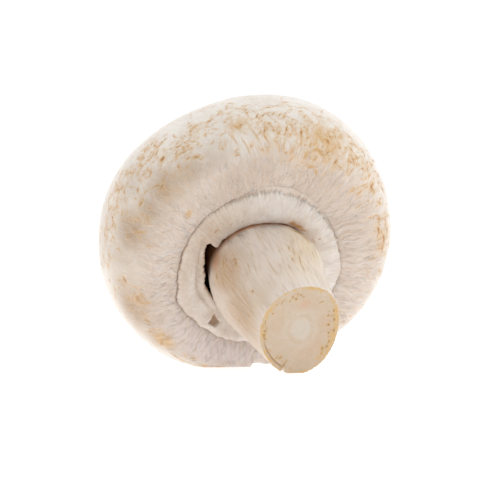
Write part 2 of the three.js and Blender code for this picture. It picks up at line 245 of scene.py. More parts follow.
def points_of(piece):
    spots = np.empty(len(piece.data.vertices) * 3, np.float32)
    piece.data.vertices.foreach_get("co", spots)
    return spots.reshape(-1, 3).astype(float)


def set_points(piece, spots):
    piece.data.vertices.foreach_set("co", spots.astype(np.float32).ravel())
    piece.data.update()


def paint(piece, **layers):
    """Values at each point of the mesh, which its material reads by name."""
    for name, values in layers.items():
        values = np.asarray(values, np.float32)
        kind, field = ("FLOAT", "value") if values.ndim == 1 else ("FLOAT_VECTOR", "vector")
        layer = piece.data.attributes.new(name, kind, "POINT")
        layer.data.foreach_set(field, values.ravel())


def round_axis(radius, angle, level):
    turn = np.radians(angle)
    return np.stack([radius * np.cos(turn), radius * np.sin(turn), level], axis=-1)


def turned(name, line, sectors):
    """A section line carried round the axis, as a fine sheet that is wrapped up and joined. It gives
    the piece, and for each of its points the row of the line and the angle in degrees."""
    bpy.ops.object.select_all(action="DESELECT")
    bpy.ops.mesh.primitive_grid_add(x_subdivisions=sectors, y_subdivisions=len(line) - 1, size=1)
    piece = bpy.context.active_object
    piece.name = piece.data.name = name
    sheet = points_of(piece) + 0.5
    row = np.rint(sheet[:, 1] * (len(line) - 1))
    angle = sheet[:, 0] * 360
    radius, level = line[row.astype(int), :2].T
    set_points(piece, round_axis(radius, angle, level))
    paint(piece, row=row, angle=angle)
    bpy.ops.object.mode_set(mode="EDIT")
    bpy.ops.mesh.select_all(action="SELECT")
    bpy.ops.mesh.remove_doubles(threshold=1e-4)
    bpy.ops.mesh.select_all(action="SELECT")
    bpy.ops.mesh.normals_make_consistent(inside=False)
    bpy.ops.object.mode_set(mode="OBJECT")
    row, angle = np.empty((2, len(piece.data.vertices)), np.float32)
    piece.data.attributes["row"].data.foreach_get("value", row)
    piece.data.attributes["angle"].data.foreach_get("value", angle)
    return piece, np.rint(row).astype(int), angle.astype(float) % 360


def lumps(spots, size, octaves=3, height=1.0):
    """Smooth noise of a height, up and down, with lumps of one size, or of a size round and along."""
    if not np.isscalar(size):
        size = (size[0], size[0], size[1])
    return height * np.array([noise.fractal(spot, 1.0, 2.0, octaves) for spot in (spots / size).tolist()])


def raise_relief(piece, height):
    """Moves each point out along its normal, by a height in mm, and presses the piece flat again."""
    ways = np.empty(len(piece.data.vertices) * 3, np.float32)
    piece.data.vertices.foreach_get("normal", ways)
    spots = points_of(piece) + ways.reshape(-1, 3) * (height * MM)[:, None]
    spots[:, 2] = np.maximum(spots[:, 2], 0)
    set_points(piece, spots)


def finish_piece(piece, material, slot, *nodes):
    """A smooth piece of the one body, which stands for the solids named."""
    bpy.ops.object.select_all(action="DESELECT")
    piece.select_set(True)
    bpy.context.view_layer.objects.active = piece
    bpy.ops.object.shade_smooth()
    piece.data.materials.clear()
    piece.data.materials.append(material)
    if nodes:
        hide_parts(*nodes)
    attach(piece, "root")


def tone(red, green, blue):
    """A colour as it looks on a screen, 0 to 255, as the light that it gives back."""
    shares = np.array([red, green, blue]) / 255
    light = np.where(shares < 0.04045, shares / 12.92, ((shares + 0.055) / 1.055) ** 2.4)
    return (*light.tolist(), 1.0)


class Finish:
    """A material of flesh or felt, and the nodes that give it its colour and its grain."""

    def __init__(self, name, roughness, glow, sheen=0.0):
        self.material = bpy.data.materials.new(name)
        self.material.use_nodes = True
        self.tree = self.material.node_tree
        self.shader = self.tree.nodes["Principled BSDF"]
        self.shader.inputs["Roughness"].default_value = roughness
        self.shader.inputs["Specular IOR Level"].default_value = 0.3
        self.shader.inputs["Subsurface Weight"].default_value = glow
        self.shader.inputs["Subsurface Radius"].default_value = (1.0, 0.62, 0.4)
        self.shader.inputs["Subsurface Scale"].default_value = 0.9 * MM
        self.shader.inputs["Sheen Weight"].default_value = sheen
        self.shader.inputs["Sheen Roughness"].default_value = 0.4

    def add(self, kind, settings=None, **inputs):
        node = self.tree.nodes.new("ShaderNode" + kind)
        for name, value in (settings or {}).items():
            setattr(node, name, value)
        for name, value in inputs.items():
            socket = node.inputs[int(name[1:]) if name[1:].isdigit() else name]
            if isinstance(value, bpy.types.NodeSocket):
                self.tree.links.new(value, socket)
            else:
                socket.default_value = value
        return node

    def painted(self, name, what="Fac"):
        return self.add("Attribute", {"attribute_name": name}).outputs[what]

    def place(self):
        """The place on the object, in mm."""
        spot = self.add("TexCoord").outputs["Object"]
        return self.add("Mapping", Vector=spot, Scale=(1 / MM, 1 / MM, 1 / MM)).outputs["Vector"]

    def noise(self, place, size, detail=2.0, rough=0.55, twist=0.0):
        """Noise of 0 to 1 with spots of one size in mm, or of a size round and along the grain."""
        if np.isscalar(size):
            size = (size, size)
        scale = (1 / size[0], 1 / size[0], 1 / size[1])
        spot = self.add("Mapping", Vector=place, Scale=scale).outputs["Vector"]
        node = self.add(
            "TexNoise", Vector=spot, Scale=1.0, Detail=detail, Roughness=rough, Distortion=twist
        )
        return node.outputs["Fac"]

    def sum(self, a, b):
        return self.add("Math", {"operation": "ADD"}, _0=a, _1=b).outputs[0]

    def product(self, a, b):
        return self.add("Math", {"operation": "MULTIPLY"}, _0=a, _1=b).outputs[0]

    def within(self, value, low, high, start=0.0, end=1.0):
        """Start where the value is below low, end where it is above high, and smooth between."""
        node = self.add("MapRange", {"interpolation_type": "SMOOTHSTEP"}, Value=value)
        for name, number in zip(("From Min", "From Max", "To Min", "To Max"), (low, high, start, end)):
            node.inputs[name].default_value = number
        return node.outputs["Result"]

    def mark(self, place, size, depth):
        """How far a point is from the middle of the nearest painted mark, where 1 is about its edge,
        which noise of a size in mm makes ragged, and the mark's strength."""
        spot = self.add("SeparateXYZ", Vector=self.painted("mark", "Vector"))
        flat = self.add("CombineXYZ", X=spot.outputs["X"], Y=spot.outputs["Y"])
        away = self.add("VectorMath", {"operation": "LENGTH"}, _0=flat.outputs[0]).outputs["Value"]
        return self.sum(away, self.product(self.noise(place, size, 3), depth)), spot.outputs["Z"]

    def blend(self, share, a, b):
        node = self.add("Mix", {"data_type": "RGBA"}, _0=share, _6=a, _7=b)
        return node.outputs[2]

    def coat(self, colour, *bumps):
        """Sets the colour, and lays one bump (height, depth in mm) over the other."""
        self.tree.links.new(colour, self.shader.inputs["Base Color"])
        normal = None
        for height, depth in bumps:
            node = self.add("Bump", Height=height, Strength=1.0, Distance=depth * MM)
            if normal is not None:
                self.tree.links.new(normal, node.inputs["Normal"])
            normal = node.outputs["Normal"]
        if normal is not None:
            self.tree.links.new(normal, self.shader.inputs["Normal"])
        return self.material


def crease_radius(angle):
    at, radius = np.transpose(CREASE_AT)
    waver = sum(h * np.sin(np.radians(n * angle + start)) for n, h, start in CREASE_WAVER)
    return np.interp(angle, at, radius, period=360) + waver


def cap_section():
    """The cap's section from the middle of its hollow to its crown, and the spacing of its points."""
    bulge = 2 / CAP_SQUARENESS
    rows = [(spot, CAP_SPACING["hollow"]) for spot in HOLLOW]
    rows += [(spot, CAP_SPACING["margin"]) for spot in MARGIN_ROLL]
    for step in range(FLANK_STEPS, 0, -1):
        turn = step / FLANK_STEPS * math.pi / 2
        out = math.cos(turn) ** bulge if step < FLANK_STEPS else 0
        radius = MARGIN_RADIUS + (CAP_RADIUS - MARGIN_RADIUS) * out
        follow = (CAP_RADIUS * out + MARGIN_FOLLOW * MARGIN_RADIUS * (1 - out)) / radius
        drop = (CAP_WIDEST_LEVEL - MARGIN_LEVEL) * math.sin(turn) ** bulge
        rows.append(((radius, CAP_WIDEST_LEVEL - drop, follow, 0), CAP_SPACING["flank"]))
    for step in range(DOME_STEPS, -1, -1):
        turn = step / DOME_STEPS * math.pi / 2
        rise = math.cos(turn) ** bulge if step < DOME_STEPS else 0
        radius = CAP_RADIUS * math.sin(turn) ** bulge
        level = CAP_WIDEST_LEVEL + CAP_DOME_HEIGHT * rise
        rows.append(((radius, level, 1, 0), CAP_SPACING["dome"]))
    knots, spacing = zip(*rows)
    return flowing(knots, spacing)


cap_line = cap_section()
cap_run = np.concatenate([[0], np.cumsum(np.hypot(*np.diff(cap_line[:, :2], axis=0).T))])
cap_run -= cap_run[np.argmin(np.hypot(cap_line[:, 0] - CREASE_RADIUS, cap_line[:, 1] - CREASE_LEVEL))]


def closed_crease(angle):
    """1 where the margin is pressed to the veil, and less where the crease gapes."""
    return 1 - swell(angle, **CREASE_OPEN) - swell(angle, **CREASE_LOOSE)


def nicked(angle, along):
    """How deep the nick in the rim is at each point."""
    return NICK["depth"] * band(angle, *NICK["across"]) * band(along, *NICK["up"])


def cap_spot(along, angle):
    """Where the cap's surface is, at a length run from the crease towards the crown and an angle."""
    radius, level, follow, near_crease = (np.interp(along, cap_run, row) for row in cap_line.T)
    stretch = 1 + follow * (unevenness(CAP_OUTLINE, angle) - 1)
    radius = radius * stretch + follow * swell(angle, **CAP_SAG)
    pinch = near_crease * closed_crease(angle)
    radius = radius + near_crease * (crease_radius(angle) - CREASE_RADIUS) - CREASE_PINCH["in"] * pinch
    return round_axis(radius - nicked(angle, along), angle, level - CREASE_PINCH["down"] * pinch)


def mark_spots(marks, angle, along, radius):
    """Where each point is in the nearest mark: ahead and aside, in half lengths and half widths, and
    the mark's strength, which is 0 well off every mark."""
    spots = np.tile(NO_MARK, (len(angle), 1))
    nearest = np.full(len(angle), NO_MARK_NEAR)
    for at, place, length, width, heading, strength in marks:
        round_way = np.radians(turn_from(angle, at)) * radius
        near = np.flatnonzero(np.hypot(round_way, along - place) < length / 2 + MARK_REACH)
        aim = math.radians(heading)
        u, v = round_way[near], along[near] - place
        ahead = v * math.cos(aim) + u * math.sin(aim)
        aside = u * math.cos(aim) - v * math.sin(aim) - MARK_BEND * ahead * ahead / length
        away = np.hypot(ahead / length, aside / width) * 2
        mine = away < nearest[near]
        close = (np.abs(ahead) < length / 2 + MARK_EDGE) & (np.abs(aside) < width / 2 + MARK_EDGE)
        places = np.stack([ahead / length * 2, aside / width * 2, strength * close], axis=1)
        spots[near[mine]] = places[mine]
        nearest[near[mine]] = away[mine]
    return spots


def strewn(draw, fields, length, width, strength, heading):
    """Marks strewn in fields, each (angle, place, half width round, half width along, how many)."""
    marks = []
    for at, place, half_round, half_along, count in fields:
        for _ in range(count):
            u, v = draw.normal(0, FIELD_SPREAD, 2) * (half_round, half_along)
            sizes = draw.uniform(*length), draw.uniform(*width)
            aim = draw.normal(*heading)
            turn = at + math.degrees(u / CAP_RADIUS)
            marks.append((turn, place + v, *sizes, aim, draw.uniform(*strength)))
    return marks


def field_cover(fields, angle, along, radius):
    """How strong the soft fields are at each point."""
    cover = np.zeros(len(angle))
    for at, place, half_round, half_along, strength in fields:
        round_way = np.radians(turn_from(angle, at)) * radius
        away = np.hypot(round_way / half_round, (along - place) / half_along)
        cover = np.maximum(cover, strength * np.exp(-away * away * FIELD_FALL))
    return cover


# The grain runs from the crease to the crown. A point's place in it is its angle on a drum of the
# cap's usual radius, and its length run up that drum.
GRAIN_RADIUS = 18.0


def cap_grain(along, angle, place):
    """Where a point is in the grain, which wavers a little on its way to the crown."""
    return round_axis(GRAIN_RADIUS, angle + lumps(place, **GRAIN_WAVER), along)


def cap_relief(along, angle):
    """How far the skin stands out from the cap's plain form, in mm."""
    place = cap_spot(along, angle)
    grain, wide = cap_grain(along, angle, place), np.hypot(place[:, 0], place[:, 1])
    least = FOLD_SHAPE["least"]
    drawn_in = least + (1 - least) * field_cover(WRINKLES, angle, along, wide)
    folds = FOLD_SHAPE["crest"] - FOLD_SHAPE["valley"] * np.abs(lumps(grain, **FOLDS))
    relief = lumps(place, **UNEVEN)
    relief += FOLD_SHAPE["height"] * folds * band(along, *FOLD_BAND) * drawn_in
    relief += lumps(grain, **FELT) * (1 - FELT_FADES["share"] * ease(along, *FELT_FADES["between"]))
    return relief * ease(along, *RELIEF_STARTS)


cap, cap_row, cap_angle = turned("cap_dressed", cap_line, CAP_SECTORS)
cap_along = cap_run[cap_row]
cap_place = cap_spot(cap_along, cap_angle)
cap_wide = np.hypot(cap_place[:, 0], cap_place[:, 1])
set_points(cap, laid_down(cap_place))
raise_relief(cap, cap_relief(cap_along, cap_angle))
fleck_draw = np.random.default_rng(5)
cap_marks = []
for fields, strength, heading in (
    (FLECK_FIELDS, (0.3, 1.0), (15, 38)),
    (HIGH_FIELDS, (0.35, 0.95), (74, 26)),
    ([CROWN_FLECKS], (0.2, 0.6), (15, 38)),
):
    cap_marks += strewn(fleck_draw, fields, FLECK_LENGTH, FLECK_WIDTH, strength, heading)
cap_spots = mark_spots(SKIN_MARKS, cap_angle, cap_along, cap_wide)
clear = np.hypot(cap_spots[:, 0], cap_spots[:, 1]) > LISTED_MARK_CLEAR
cap_spots[clear] = mark_spots(cap_marks, cap_angle[clear], cap_along[clear], cap_wide[clear])
paint(
    cap,
    grain=cap_grain(cap_along, cap_angle, cap_place),
    along=cap_along,
    mark=cap_spots,
    stain=field_cover(STAINS, cap_angle, cap_along, cap_wide),
    dusk=field_cover(DUSKY_STAINS, cap_angle, cap_along, cap_wide),
    bloom=field_cover(BLOOM, cap_angle, cap_along, cap_wide),
    pinched=closed_crease(cap_angle),
    browned=swell(cap_angle, **CREASE_BROWNED),
)

SKIN_CREAM = tone(234, 228, 220)
SKIN_SHADE = tone(223, 213, 202)
MARGIN_FELT = tone(224, 215, 208)
MARGIN_FELT_SHADE = tone(209, 197, 187)
MARGIN_BLOOM = tone(226, 217, 217)
CREASE_TAN = tone(209, 184, 162)
CREASE_BROWN = tone(140, 93, 54)
STAIN_TAN = tone(213, 183, 143)
STAIN_DUSK = tone(174, 147, 120)
FLECK_OCHRE = tone(207, 160, 94)
FLECK_BROWN = tone(158, 98, 44)
HOLLOW_BROWN = tone(92, 64, 46)


def cap_skin():
    skin = Finish("cap_skin", roughness=0.62, glow=0.25, sheen=0.5)
    place, grain, along = skin.place(), skin.painted("grain", "Vector"), skin.painted("along")
    fibres = skin.noise(grain, (0.22, 1.1), 3)
    mottle = skin.noise(place, 3.5, 3)
    colour = skin.blend(skin.within(skin.sum(fibres, mottle), 0.7, 1.3), SKIN_SHADE, SKIN_CREAM)
    felt = skin.blend(skin.within(fibres, 0.3, 0.7), MARGIN_FELT_SHADE, MARGIN_FELT)
    # Painted shade between the folds and tufts of the felt, in tan.
    parted = skin.within(skin.noise(grain, (0.6, 2.4), 4, 0.65), 0.4, 0.62, 0.4, 0.0)
    felt = skin.blend(parted, felt, CREASE_TAN)
    # Painted light: the felt low on the margin is painted paler, partly pale felt and partly light from
    # below.
    downy = skin.product(skin.painted("bloom"), skin.within(fibres, 0.25, 0.6, 0.4, 1.0))
    felt = skin.blend(downy, felt, MARGIN_BLOOM)
    colour = skin.blend(skin.within(along, 4.5, 9.0), felt, colour)
    cloudy = skin.sum(skin.noise(grain, (0.7, 1.3), 4, 0.6), -0.5)
    streaky = skin.within(skin.noise(grain, (0.3, 1.3), 4, 0.65), 0.3, 0.7, 0.75, 1.0)
    # Darker stains with painted shade, streaked along the grain.
    colour = skin.blend(skin.product(skin.painted("dusk"), streaky), colour, STAIN_DUSK)
    # Tan stains, with some painted shade on the left flank.
    patchy = skin.sum(skin.painted("stain"), skin.product(cloudy, 1.6))
    colour = skin.blend(skin.within(patchy, 0.12, 1.0, 0.0, 0.95), colour, STAIN_TAN)
    # Dried fibrils are darkest in their middle, ragged at their edge, and stain the skin round them.
    ragged, strength = skin.mark(place, 0.3, 1.3)
    smudge = skin.product(skin.within(ragged, 0.9, 4.0, 0.5, 0.0), strength)
    colour = skin.blend(smudge, colour, STAIN_TAN)
    core = skin.product(skin.within(ragged, 0.7, 1.5, 0.95, 0.0), skin.within(strength, 0.78, 1.0))
    dried = skin.blend(core, FLECK_OCHRE, FLECK_BROWN)
    # Flecks in the darker stains take the painted shade too.
    dried = skin.blend(skin.product(skin.painted("dusk"), 0.7), dried, STAIN_DUSK)
    lines = skin.product(skin.within(ragged, 1.0, 1.9, 1.0, 0.0), strength)
    colour = skin.blend(skin.product(lines, 0.9), colour, dried)
    pinched = skin.painted("pinched")
    # Painted shade along the crease on the margin: tan, and brown along one side.
    groove = skin.blend(skin.within(fibres, 0.35, 0.65), CREASE_TAN, MARGIN_FELT_SHADE)
    groove = skin.blend(skin.painted("browned"), groove, CREASE_BROWN)
    wander = skin.sum(along, skin.product(skin.noise(place, 0.8, 2), 0.5))
    wander = skin.product(wander, skin.sum(skin.product(pinched, 0.4), 0.4))
    colour = skin.blend(skin.within(wander, 0.15, 0.8), groove, colour)
    # Painted shade: the hollow behind the crease is painted dark brown.
    colour = skin.blend(skin.within(along, -3.5, -1.5), HOLLOW_BROWN, colour)
    fine = skin.noise(place, 0.25, 2)
    return skin.coat(colour, (fibres, 0.018), (fine, 0.015), (skin.product(lines, -1.0), 0.03))


finish_piece(cap, cap_skin(), "cap_skin", "cap")


# Gills: pinkish brown blades packed side by side in the hollow, hanging from the cap's flesh.
GILL_COUNT = 96
GILL_THICKNESS = 0.34
GILL_CORNERS = 4
GILL_FOOT = 1.2
# (radius, level on a blade's edge, level on the plate between the blades)
GILL_SECTION = np.array([
    (14.5, 7.35, 7.35), (12.6, 8.7, 8.7), (8.6, 9.8, 9.8), (8.3, 4.2, 9.0), (9.8, 2.8, 8.75),
    (11.6, 2.1, 8.3), (13.2, 2.6, 7.75), (14.3, 4.4, 7.0),
])
GILL_PINK = tone(150, 104, 84)
GILL_BROWN = tone(84, 54, 40)
gill_columns = GILL_COUNT * GILL_CORNERS
gills, gill_row, gill_angle = turned(
    "gills_dressed", np.vstack([GILL_SECTION, GILL_SECTION[:1]]), gill_columns
)
gill_row %= len(GILL_SECTION)
corner = np.rint(gill_angle / 360 * gill_columns).astype(int) % gill_columns
gill_radius, blade_level, plate_level = GILL_SECTION[gill_row].T
half_blade = np.degrees(GILL_THICKNESS / 2 / gill_radius)
gill_pitch = 360 / GILL_COUNT
side = corner % GILL_CORNERS
step_round = np.choose(
    side, [-half_blade, half_blade, half_blade * GILL_FOOT, gill_pitch - half_blade * GILL_FOOT]
)
gill_angle = corner // GILL_CORNERS * gill_pitch + step_round
gill_level = np.where(side < 2, blade_level, plate_level)
set_points(gills, laid_down(round_axis(gill_radius, gill_angle, gill_level)))


def gill_flesh():
    flesh = Finish("gill_flesh", roughness=0.7, glow=0.1)
    return flesh.coat(flesh.blend(flesh.noise(flesh.place(), 1.5, 2), GILL_BROWN, GILL_PINK))


finish_piece(gills, gill_flesh(), "gill_flesh", "gills")


# Stem: a barrel of long silky fibres that narrows to its cut. Its skin swells out where it reaches
# the veil, and the knife has gone through it on a slant and left a loose sliver of skin at one side.
STEM_LENGTH = 20.1
STEM_SIDE = [
    (5.65, 10.25), (6.05, 6.4), (6.65, 3.5), (7.15, 1.3), (7.65, -0.9), (8.0, -2.9), (8.2, -5.5),
    (7.85, -9.7), (7.25, -14.9), (6.88, -18.4), (6.68, -20.1),
]
STEM_OUTLINE = [(1, 0.03, 145)]
CUT_OUTLINE = [(2, 0.017, 44), (3, 0.03, 77), (31, 0.002, 0), (53, 0.003, 20), (87, 0.002, 70)]
STEM_SECTORS = 600
STEM_SPACING = 0.4
STEM_BEND = (-0.25, 0.12)
STEM_FLARE = {"at": 318, "half_width": 56, "height": 0.85}
STEM_FLARE_BAND = (-12, -5.5, 0.2, 2)
CUT_SLANT = math.radians(12.9)
CUT_SLANT_TOWARDS = 312
SLANT_FROM = 8
CUT_EDGE = [0.985, 0.96, 0.935, 0.92, 0.907, 0.894, 0.88]
CUT_INNER = 0.86
CUT_RINGS = 30
CUT_RADIUS = 6.7
CUT_LEAST_RADIUS = 0.5
# The sliver stands out from the flesh over a band of angles, with a notch before its tip, and a crack
# runs behind it at a share of the cut's radius.
SLIVER = {"out": 0.1, "across": (112.5, 114.5, 150, 182), "from": 12.0, "edge": (0.9, 0.925)}
SLIVER_NOTCH = {"in": 0.5, "across": (106.5, 109.5, 111.5, 113.5), "up": 2}
SLIVER_CRACK = {"deep": 0.16, "groove": (0.885, 0.905, 0.909, 0.93), "line": (0.89, 0.905, 0.909, 0.925)}
FIBRES = {"size": (0.8, 9.0), "octaves": 2, "height": 0.025}
FINE_FIBRES = {"size": (0.25, 3.5), "octaves": 2, "height": 0.015}
STEM_UNEVEN = {"size": 4.0, "octaves": 2, "height": 0.07}
CUT_ROUGH = {"size": 0.9, "height": 0.04}
# Tan stains on the stem's side, which also paint shade on its left side, each (angle, mm below the crease,
# half width round, half width down, strength), and marks, each (angle, mm below the crease, length, width,
# heading, strength), where a mark of heading 0 points down the stem.
STEM_STAINS = [
    (197, 7.0, 3.0, 5.0, 1.0), (176, 14.2, 3.6, 5.0, 1.0), (212, 16.5, 3.0, 4.0, 0.45),
    (236, 12.0, 4.0, 6.0, 0.2), (150, 10.0, 4.0, 7.0, 0.4), (90, 9.0, 6.0, 6.0, 0.35),
    (20, 9.0, 5.0, 6.0, 0.3),
]
STEM_YELLOW = [
    (302, 6.5, 2.4, 5.5, 1.0), (280, 12.5, 1.6, 3.6, 0.7), (325, 5.0, 3.0, 4.0, 0.7),
    (275, 16.5, 4.0, 1.4, 0.5), (200, 17.0, 3.0, 1.4, 0.5), (150, 17.5, 3.0, 1.5, 0.5),
]
STEM_MARKS = [
    (214.6, 6.9, 0.9, 0.3, 20, 1.0), (213, 7.6, 1.0, 0.28, -40, 1.0), (206, 5.3, 2.2, 0.24, -28, 0.7),
    (202, 5.0, 2.4, 0.26, -28, 0.8), (185.5, 5.1, 1.4, 0.34, -22, 0.95), (187, 7.5, 1.6, 0.2, -20, 0.6),
    (191, 10.5, 2.4, 0.2, -15, 0.5), (273, 9.5, 1.2, 0.26, -10, 0.75), (271, 12.6, 1.3, 0.26, -5, 0.8),
    (280, 12.7, 3.2, 0.3, -6, 0.8), (279.5, 15.2, 1.7, 0.26, 0, 0.7), (276, 11.0, 1.3, 0.2, -5, 0.6),
    (209, 14.9, 0.6, 0.45, 0, 0.8), (167, 13.5, 0.5, 0.4, 0, 0.8), (185, 16.2, 1.2, 0.26, 0, 0.6),
    (262, 14.5, 1.4, 0.2, 0, 0.5), (299, 3.4, 2.0, 1.1, 40, 1.0), (303, 4.9, 2.2, 0.6, 15, 1.0),
    (305, 2.6, 1.6, 0.8, 60, 1.0), (312, 7.4, 1.6, 0.25, 10, 0.6), (306, 9.0, 1.8, 0.22, 5, 0.5),
    (330, 9.8, 0.8, 0.35, 20, 0.9), (222, 10.2, 1.2, 0.2, -10, 0.5), (232, 8.4, 1.4, 0.18, -8, 0.4),
    (196, 13.4, 1.5, 0.22, -12, 0.5),
]
STEM_FLECKS = [
    (200, 10, 7.0, 6.0, 90), (290, 11, 5.0, 5.0, 70), (100, 9, 14.0, 7.0, 90), (250, 9, 6.0, 6.0, 30),
]
STEM_FLECK = {"length": (0.6, 2.4), "width": (0.1, 0.2), "strength": (0.1, 0.4), "heading": (0, 10)}
# Painted brown shadow on the stem under the veil's lip, rusty skin with painted shade in its tear and
# above it, and the mm below the crease where each ends.
UNDER_LIP = {"at": 256, "half_width": 100}
UNDER_LIP_ENDS = (1.1, 2.5)
IN_TEAR = {"at": 196, "half_width": 17, "height": 0.65}
IN_TEAR_ENDS = (2.4, 5.2)
BEHIND_VEIL_ENDS = (-1.0, 1.2)
# On the cut: gold in the rim, and small brown pits, laid out as (angle, mm from its middle, ...).
CUT_GOLDEN = [
    (285, 6.5, 3.2, 0.5, 1.0), (345, 6.3, 3.4, 0.6, 1.0), (18, 6.1, 2.6, 0.6, 1.0),
    (42, 5.9, 1.6, 0.9, 0.9), (207, 6.2, 2.5, 0.6, 0.9), (180, 6.3, 1.8, 0.6, 0.8),
    (90, 6.5, 4.0, 0.4, 0.6), (315, 6.6, 2.4, 0.35, 0.7), (240, 6.5, 3.0, 0.35, 0.7),
    (140, 6.5, 2.6, 0.5, 0.8),
]
CUT_RUDDY = [
    (273, 3.9, 1.1, 0.8, 0.6), (195, 4.4, 1.2, 1.6, 0.25), (60, 3.8, 2.2, 1.4, 0.3),
    (350, 4.2, 1.4, 1.2, 0.35),
]
CUT_MARKS = [
    (182, 5.9, 0.5, 0.36, 0, 1.0), (176, 6.0, 0.6, 0.45, 60, 1.0), (170, 5.9, 0.4, 0.26, 30, 0.7),
    (253, 5.0, 0.5, 0.36, 30, 1.0), (262, 5.5, 0.4, 0.3, 70, 0.8), (247, 5.5, 0.45, 0.3, 10, 0.9),
    (257, 5.75, 0.34, 0.24, 20, 0.7), (241, 5.1, 0.34, 0.24, 0, 0.7), (208, 5.5, 0.4, 0.3, 20, 0.7),
    (221, 5.9, 0.4, 0.24, 30, 0.6), (268, 5.1, 0.3, 0.22, 0, 0.6), (234, 5.7, 0.34, 0.22, 40, 0.6),
    (339, 4.8, 0.4, 0.3, 0, 0.9), (357, 4.8, 0.55, 0.4, 0, 1.0), (12, 5.1, 0.45, 0.36, 0, 0.9),
    (309, 5.1, 0.4, 0.3, 0, 0.7), (305, 4.7, 0.3, 0.24, 0, 0.6), (336, 5.9, 0.6, 0.36, 80, 0.9),
    (350, 5.8, 0.7, 0.4, 85, 1.0), (7, 5.9, 0.6, 0.36, 90, 0.9), (126, 5.2, 0.6, 0.5, 0, 0.7),
    (114, 5.7, 0.6, 0.4, 0, 0.8), (112, 5.1, 0.45, 0.3, 0, 0.7), (132, 5.6, 0.5, 0.3, 0, 0.6),
    (40, 5.2, 0.6, 0.45, 30, 0.9), (25, 5.7, 0.6, 0.4, 60, 0.9), (33, 5.7, 0.5, 0.36, 20, 0.8),
    (193, 6.1, 0.7, 0.16, 80, 0.9), (186, 5.6, 0.5, 0.14, 85, 0.6), (18, 5.3, 0.34, 0.26, 0, 0.7),
    (46, 5.6, 0.4, 0.3, 50, 0.7), (343, 5.4, 0.3, 0.24, 0, 0.7), (150, 5.7, 0.6, 0.2, 80, 0.5),
    (100, 5.9, 0.5, 0.25, 0, 0.5), (228, 5.6, 0.6, 0.22, 60, 0.6),
]
stem_side = flowing(STEM_SIDE, STEM_SPACING)


def stem_radius(angle, level):
    radius = np.interp(-level, -stem_side[:, 1], stem_side[:, 0])
    near_cut = ease(-level, SLANT_FROM, STEM_LENGTH)
    stretch = unevenness(STEM_OUTLINE, angle) + near_cut * (unevenness(CUT_OUTLINE, angle) - 1)
    return radius * stretch + band(level, *STEM_FLARE_BAND) * swell(angle, **STEM_FLARE)


def stem_spot(share, level, angle):
    """A place in the stem, at a share of its radius, a level before the slant, and an angle."""
    sliver, notch = band(angle, *SLIVER["across"]), band(angle, *SLIVER_NOTCH["across"])
    notch = notch * ease(-level, STEM_LENGTH - SLIVER_NOTCH["up"], STEM_LENGTH)
    stands = SLIVER["out"] * sliver - SLIVER_NOTCH["in"] * notch
    stands = stands * ease(-level, SLIVER["from"], STEM_LENGTH) * ease(share, *SLIVER["edge"])
    radius = share * stem_radius(angle, level) + stands
    bend = np.clip(-level / STEM_LENGTH, 0, None) ** 2
    rise = radius * np.cos(np.radians(angle - CUT_SLANT_TOWARDS)) * math.tan(CUT_SLANT)
    crack = SLIVER_CRACK["deep"] * sliver * band(share, *SLIVER_CRACK["groove"])
    crack = crack * (level <= -STEM_LENGTH)
    spots = round_axis(radius, angle, level + ease(-level, SLANT_FROM, STEM_LENGTH) * rise + crack)
    spots[..., 0] += STEM_BEND[0] * bend
    spots[..., 1] += STEM_BEND[1] * bend
    return spots


# A piece is first drawn at this radius, and then takes its own.
DRAWN_RADIUS = 10
# Rows of (share of the radius, level): the side from the top down, then the cut to its middle.
cut_shares = np.concatenate([CUT_EDGE, np.linspace(CUT_INNER, 0, CUT_RINGS)])
stem_line = np.array(
    [(0, STEM_SIDE[0][1])]
    + [(1, level) for level in stem_side[:, 1]]
    + [(share, -STEM_LENGTH) for share in cut_shares]
)
stem, stem_row, stem_angle = turned("stem_dressed", stem_line * (DRAWN_RADIUS, 1), STEM_SECTORS)
stem_share, stem_level = stem_line[stem_row].T
on_cut = (stem_row > len(stem_side)).astype(float)
stem_place = stem_spot(stem_share, stem_level, stem_angle)
set_points(stem, laid_down(stem_place))
STEM_GRAIN_RADIUS = 7.5
stem_grain = round_axis(STEM_GRAIN_RADIUS, stem_angle, stem_level)
raise_relief(stem, (
    (1 - on_cut) * (
        lumps(stem_grain, **FIBRES) + lumps(stem_grain, **FINE_FIBRES) + lumps(stem_place, **STEM_UNEVEN)
    )
    + on_cut * lumps(stem_place, **CUT_ROUGH)
))
stem_wide = np.full(len(stem_angle), STEM_GRAIN_RADIUS)
cut_wide = stem_share * CUT_RADIUS
stem_flecks = strewn(fleck_draw, STEM_FLECKS, **STEM_FLECK)
side_spots = mark_spots(STEM_MARKS + stem_flecks, stem_angle, -stem_level, stem_wide)
cut_spots = mark_spots(CUT_MARKS, stem_angle, cut_wide, np.maximum(cut_wide, CUT_LEAST_RADIUS))
